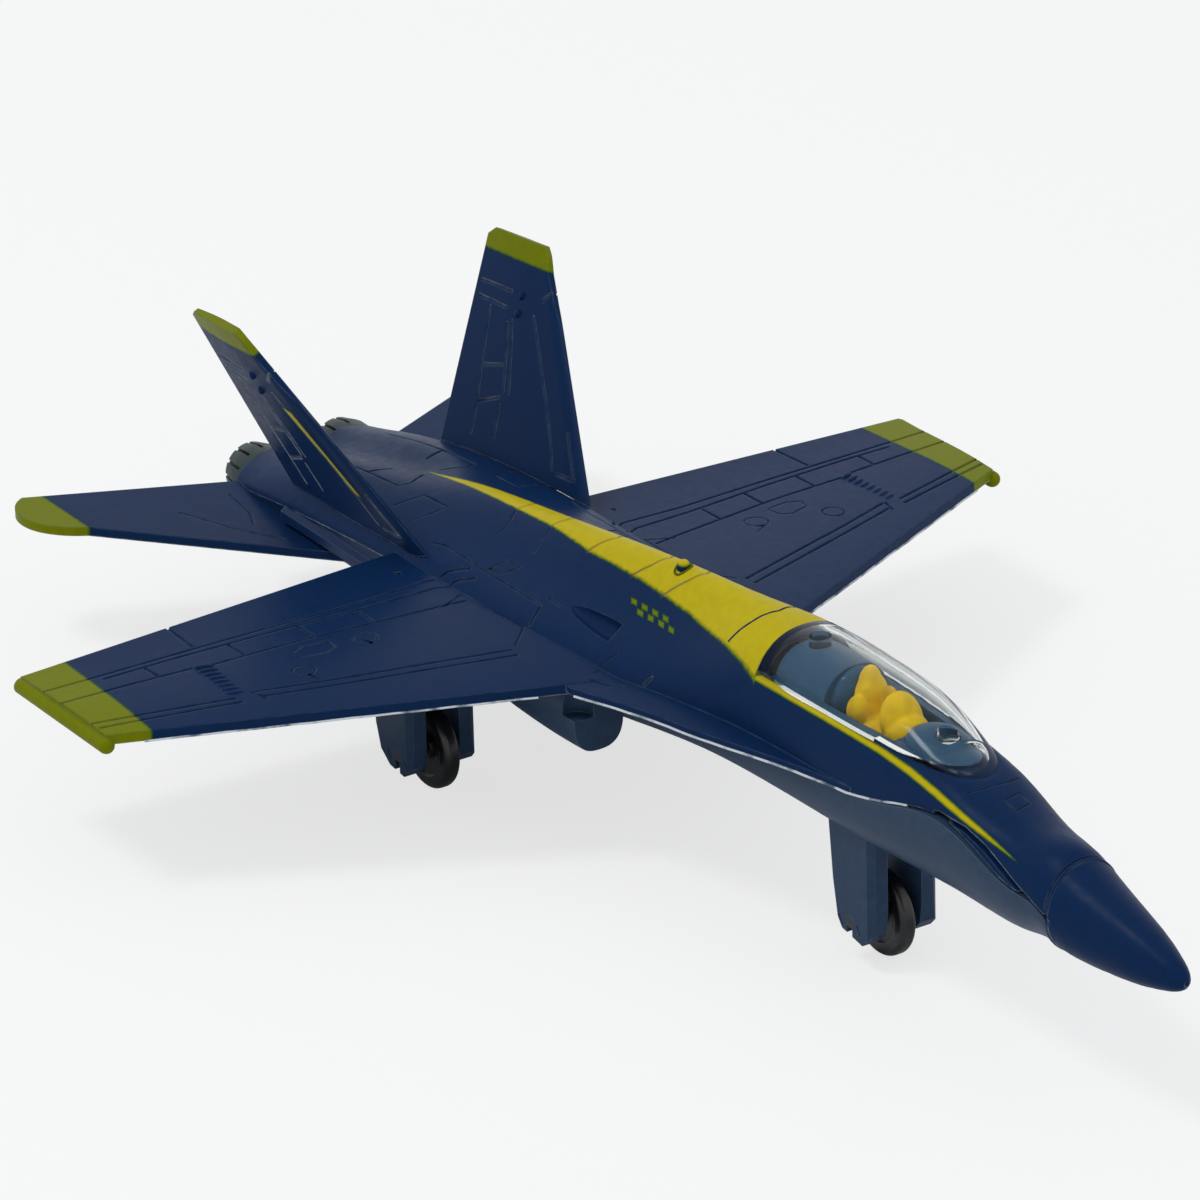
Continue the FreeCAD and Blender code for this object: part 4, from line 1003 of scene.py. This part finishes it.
dash = moulding("dash_dome", [((47.3, 0, 28.9), (4.2, 3.35, 1.9), 0), ((49.3, 0, 28.4), (4.9, 3.25, 1.5), 0)],
                smoothing=2)
peg_room = [(49.0 + 1.35 * c, 1.35 * s, z) for c, s in around(15) for z in (26, 36)]
combine(dash, hull("peg_room", peg_room), "DIFFERENCE")
combine(dash, block("under_dash", (40, 54), (-6, 6), (20, 29.08)), "DIFFERENCE")
add_on(dash, "airframe", tub_plastic)
seat_back = moulding("seat_back", [((32.5, 0, 28.9), (1.8, 3.3, 3.3), 0)], smoothing=2)
add_on(seat_back, "airframe", tub_plastic)
figure = moulding("seated_figure", [
    ((35.0, 0, 31.3), (1.35, 1.25, 1.95), 0),      # helmeted head
    ((35.2, 0, 30.2), (1.75, 1.85, 2.3), 6),       # neck and collar
    ((35.2, 0, 28.6), (1.9, 2.6, 2.4), 0),         # chest and shoulders
    ((35.5, -2.1, 28.6), (1.5, 0.9, 2.1), 10),     # arms
    ((35.5, 2.1, 28.6), (1.5, 0.9, 2.1), 10),
    ((37.4, 0, 27.6), (3.2, 2.5, 1.0), 0),         # lap
    ((40.7, 0, 29.0), (1.5, 2.6, 3.3), -20),       # panel ahead of the figure
    ((41.6, 0, 28.0), (2.0, 2.7, 2.2), 0),
    ((36.6, 0, 27.0), (4.4, 2.4, 0.45), 0),        # seat pan
])
dress(figure, "pilot", "airframe", "plastic_yellow", figure_plastic)

# ------------------------------------------------------------- gear and fasteners
for node, body in (("nose_wheel", "nose_wheel_body"), ("left_main_wheel", "left_wheel_body"),
                   ("right_main_wheel", "right_wheel_body")):
    dress(merged(node, node + "_disc"), node, body, "plastic_black", wheel_plastic)
for node in ("nose_axle", "left_main_axle", "right_main_axle", "body_screws"):
    dress(merged(node, node + "_steel"), node, "airframe", "steel", bare_steel)

# --------------------------------------------------------------------- studio
FLOOR_REACH = 3.0                  # metres
FLOOR_GLOW = 0.7                   # how much of the floor's look is plain white
# Each light's name, place and size in metres, and power in watts.
LIGHTS = (("key", (-0.15, -0.35, 0.75), 0.18, 1.9), ("fill", (0.75, 0.25, 0.55), 0.4, 0.5))
LIGHT_AIM = Vector((0, 0, 0.02))
CAMERA_PLACE = Vector((0.67025, -0.44077, 0.40315))
CAMERA_TURN = (57.367, 25.048, -1.583)     # degrees: round from the tail, up, and roll
CAMERA_LENS = 241.70               # millimetres, on a sensor 36 wide


def studio():
    """A plain pale floor and soft light."""
    floor_mesh = bpy.data.meshes.new("floor")
    corners = [(x * FLOOR_REACH, y * FLOOR_REACH, 0) for x, y in ((-1, -1), (1, -1), (1, 1), (-1, 1))]
    floor_mesh.from_pydata(corners, [], [(0, 1, 2, 3)])
    floor = link(bpy.data.objects.new("floor", floor_mesh))
    material, n = new_material("floor_paper")
    grain = n.noise(n.add("ShaderNodeTexCoord").outputs["Object"], 400.0, 2.0)
    tone = n.mix(grain, (0.88, 0.88, 0.88, 1), (0.91, 0.91, 0.91, 1))
    paper = n.add("ShaderNodeBsdfDiffuse", {"Color": tone})
    glow = n.add("ShaderNodeEmission", {"Color": (1, 1, 1, 1), "Strength": 1.0})
    seen = n.math("MULTIPLY", n.add("ShaderNodeLightPath").outputs["Is Camera Ray"], FLOOR_GLOW)
    blend = n.add("ShaderNodeMixShader", {0: seen, 1: paper.outputs[0], 2: glow.outputs[0]})
    out = n.add("ShaderNodeOutputMaterial")
    n.tree.links.new(blend.outputs[0], out.inputs["Surface"])
    floor_mesh.materials.append(material)
    floor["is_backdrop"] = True

    world = bpy.data.worlds.new("studio")
    bpy.context.scene.world = world
    world.use_nodes = True
    world.node_tree.nodes.clear()
    n = Nodes(world.node_tree)
    path = n.add("ShaderNodeLightPath").outputs
    through = n.math("MAXIMUM", path["Is Glossy Ray"], path["Is Transmission Ray"])
    seen = n.math("MAXIMUM", path["Is Camera Ray"], through)
    around = n.add("ShaderNodeBackground", {"Color": (0.93, 0.96, 1.0, 1), "Strength": 0.62})
    white = n.add("ShaderNodeBackground", {"Color": (1, 1, 1, 1), "Strength": 1.0})
    blend = n.add("ShaderNodeMixShader", {0: seen, 1: around.outputs[0], 2: white.outputs[0]})
    out = n.add("ShaderNodeOutputWorld")
    n.tree.links.new(blend.outputs[0], out.inputs["Surface"])

    for name, spot, size, power in LIGHTS:
        light = bpy.data.lights.new(name, "AREA")
        light.size = size
        light.energy = power
        lamp = link(bpy.data.objects.new(name, light))
        lamp.location = spot
        lamp.rotation_mode = "QUATERNION"
        lamp.rotation_quaternion = (LIGHT_AIM - lamp.location).to_track_quat("-Z", "Y")


def camera():
    """A long lens from ahead, to starboard and above."""
    azimuth, elevation, roll = (math.radians(angle) for angle in CAMERA_TURN)
    back = Vector((math.sin(azimuth) * math.cos(elevation), -math.cos(azimuth) * math.cos(elevation),
                   math.sin(elevation)))
    level = (-back).cross(UP).normalized()
    above = level.cross(-back)
    right = level * math.cos(roll) + above * math.sin(roll)
    top = above * math.cos(roll) - level * math.sin(roll)
    data = bpy.data.cameras.new("camera")
    data.lens = CAMERA_LENS
    data.sensor_width = 36.0
    data.clip_start = 0.05
    data.clip_end = 20.0
    cam = link(bpy.data.objects.new("camera", data))
    turn = Matrix((right, top, back)).transposed().to_4x4()
    cam.matrix_world = Matrix.Translation(CAMERA_PLACE) @ turn
    bpy.context.scene.camera = cam


studio()
camera()
bpy.context.scene.view_settings.view_transform = "Standard"

low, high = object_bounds()
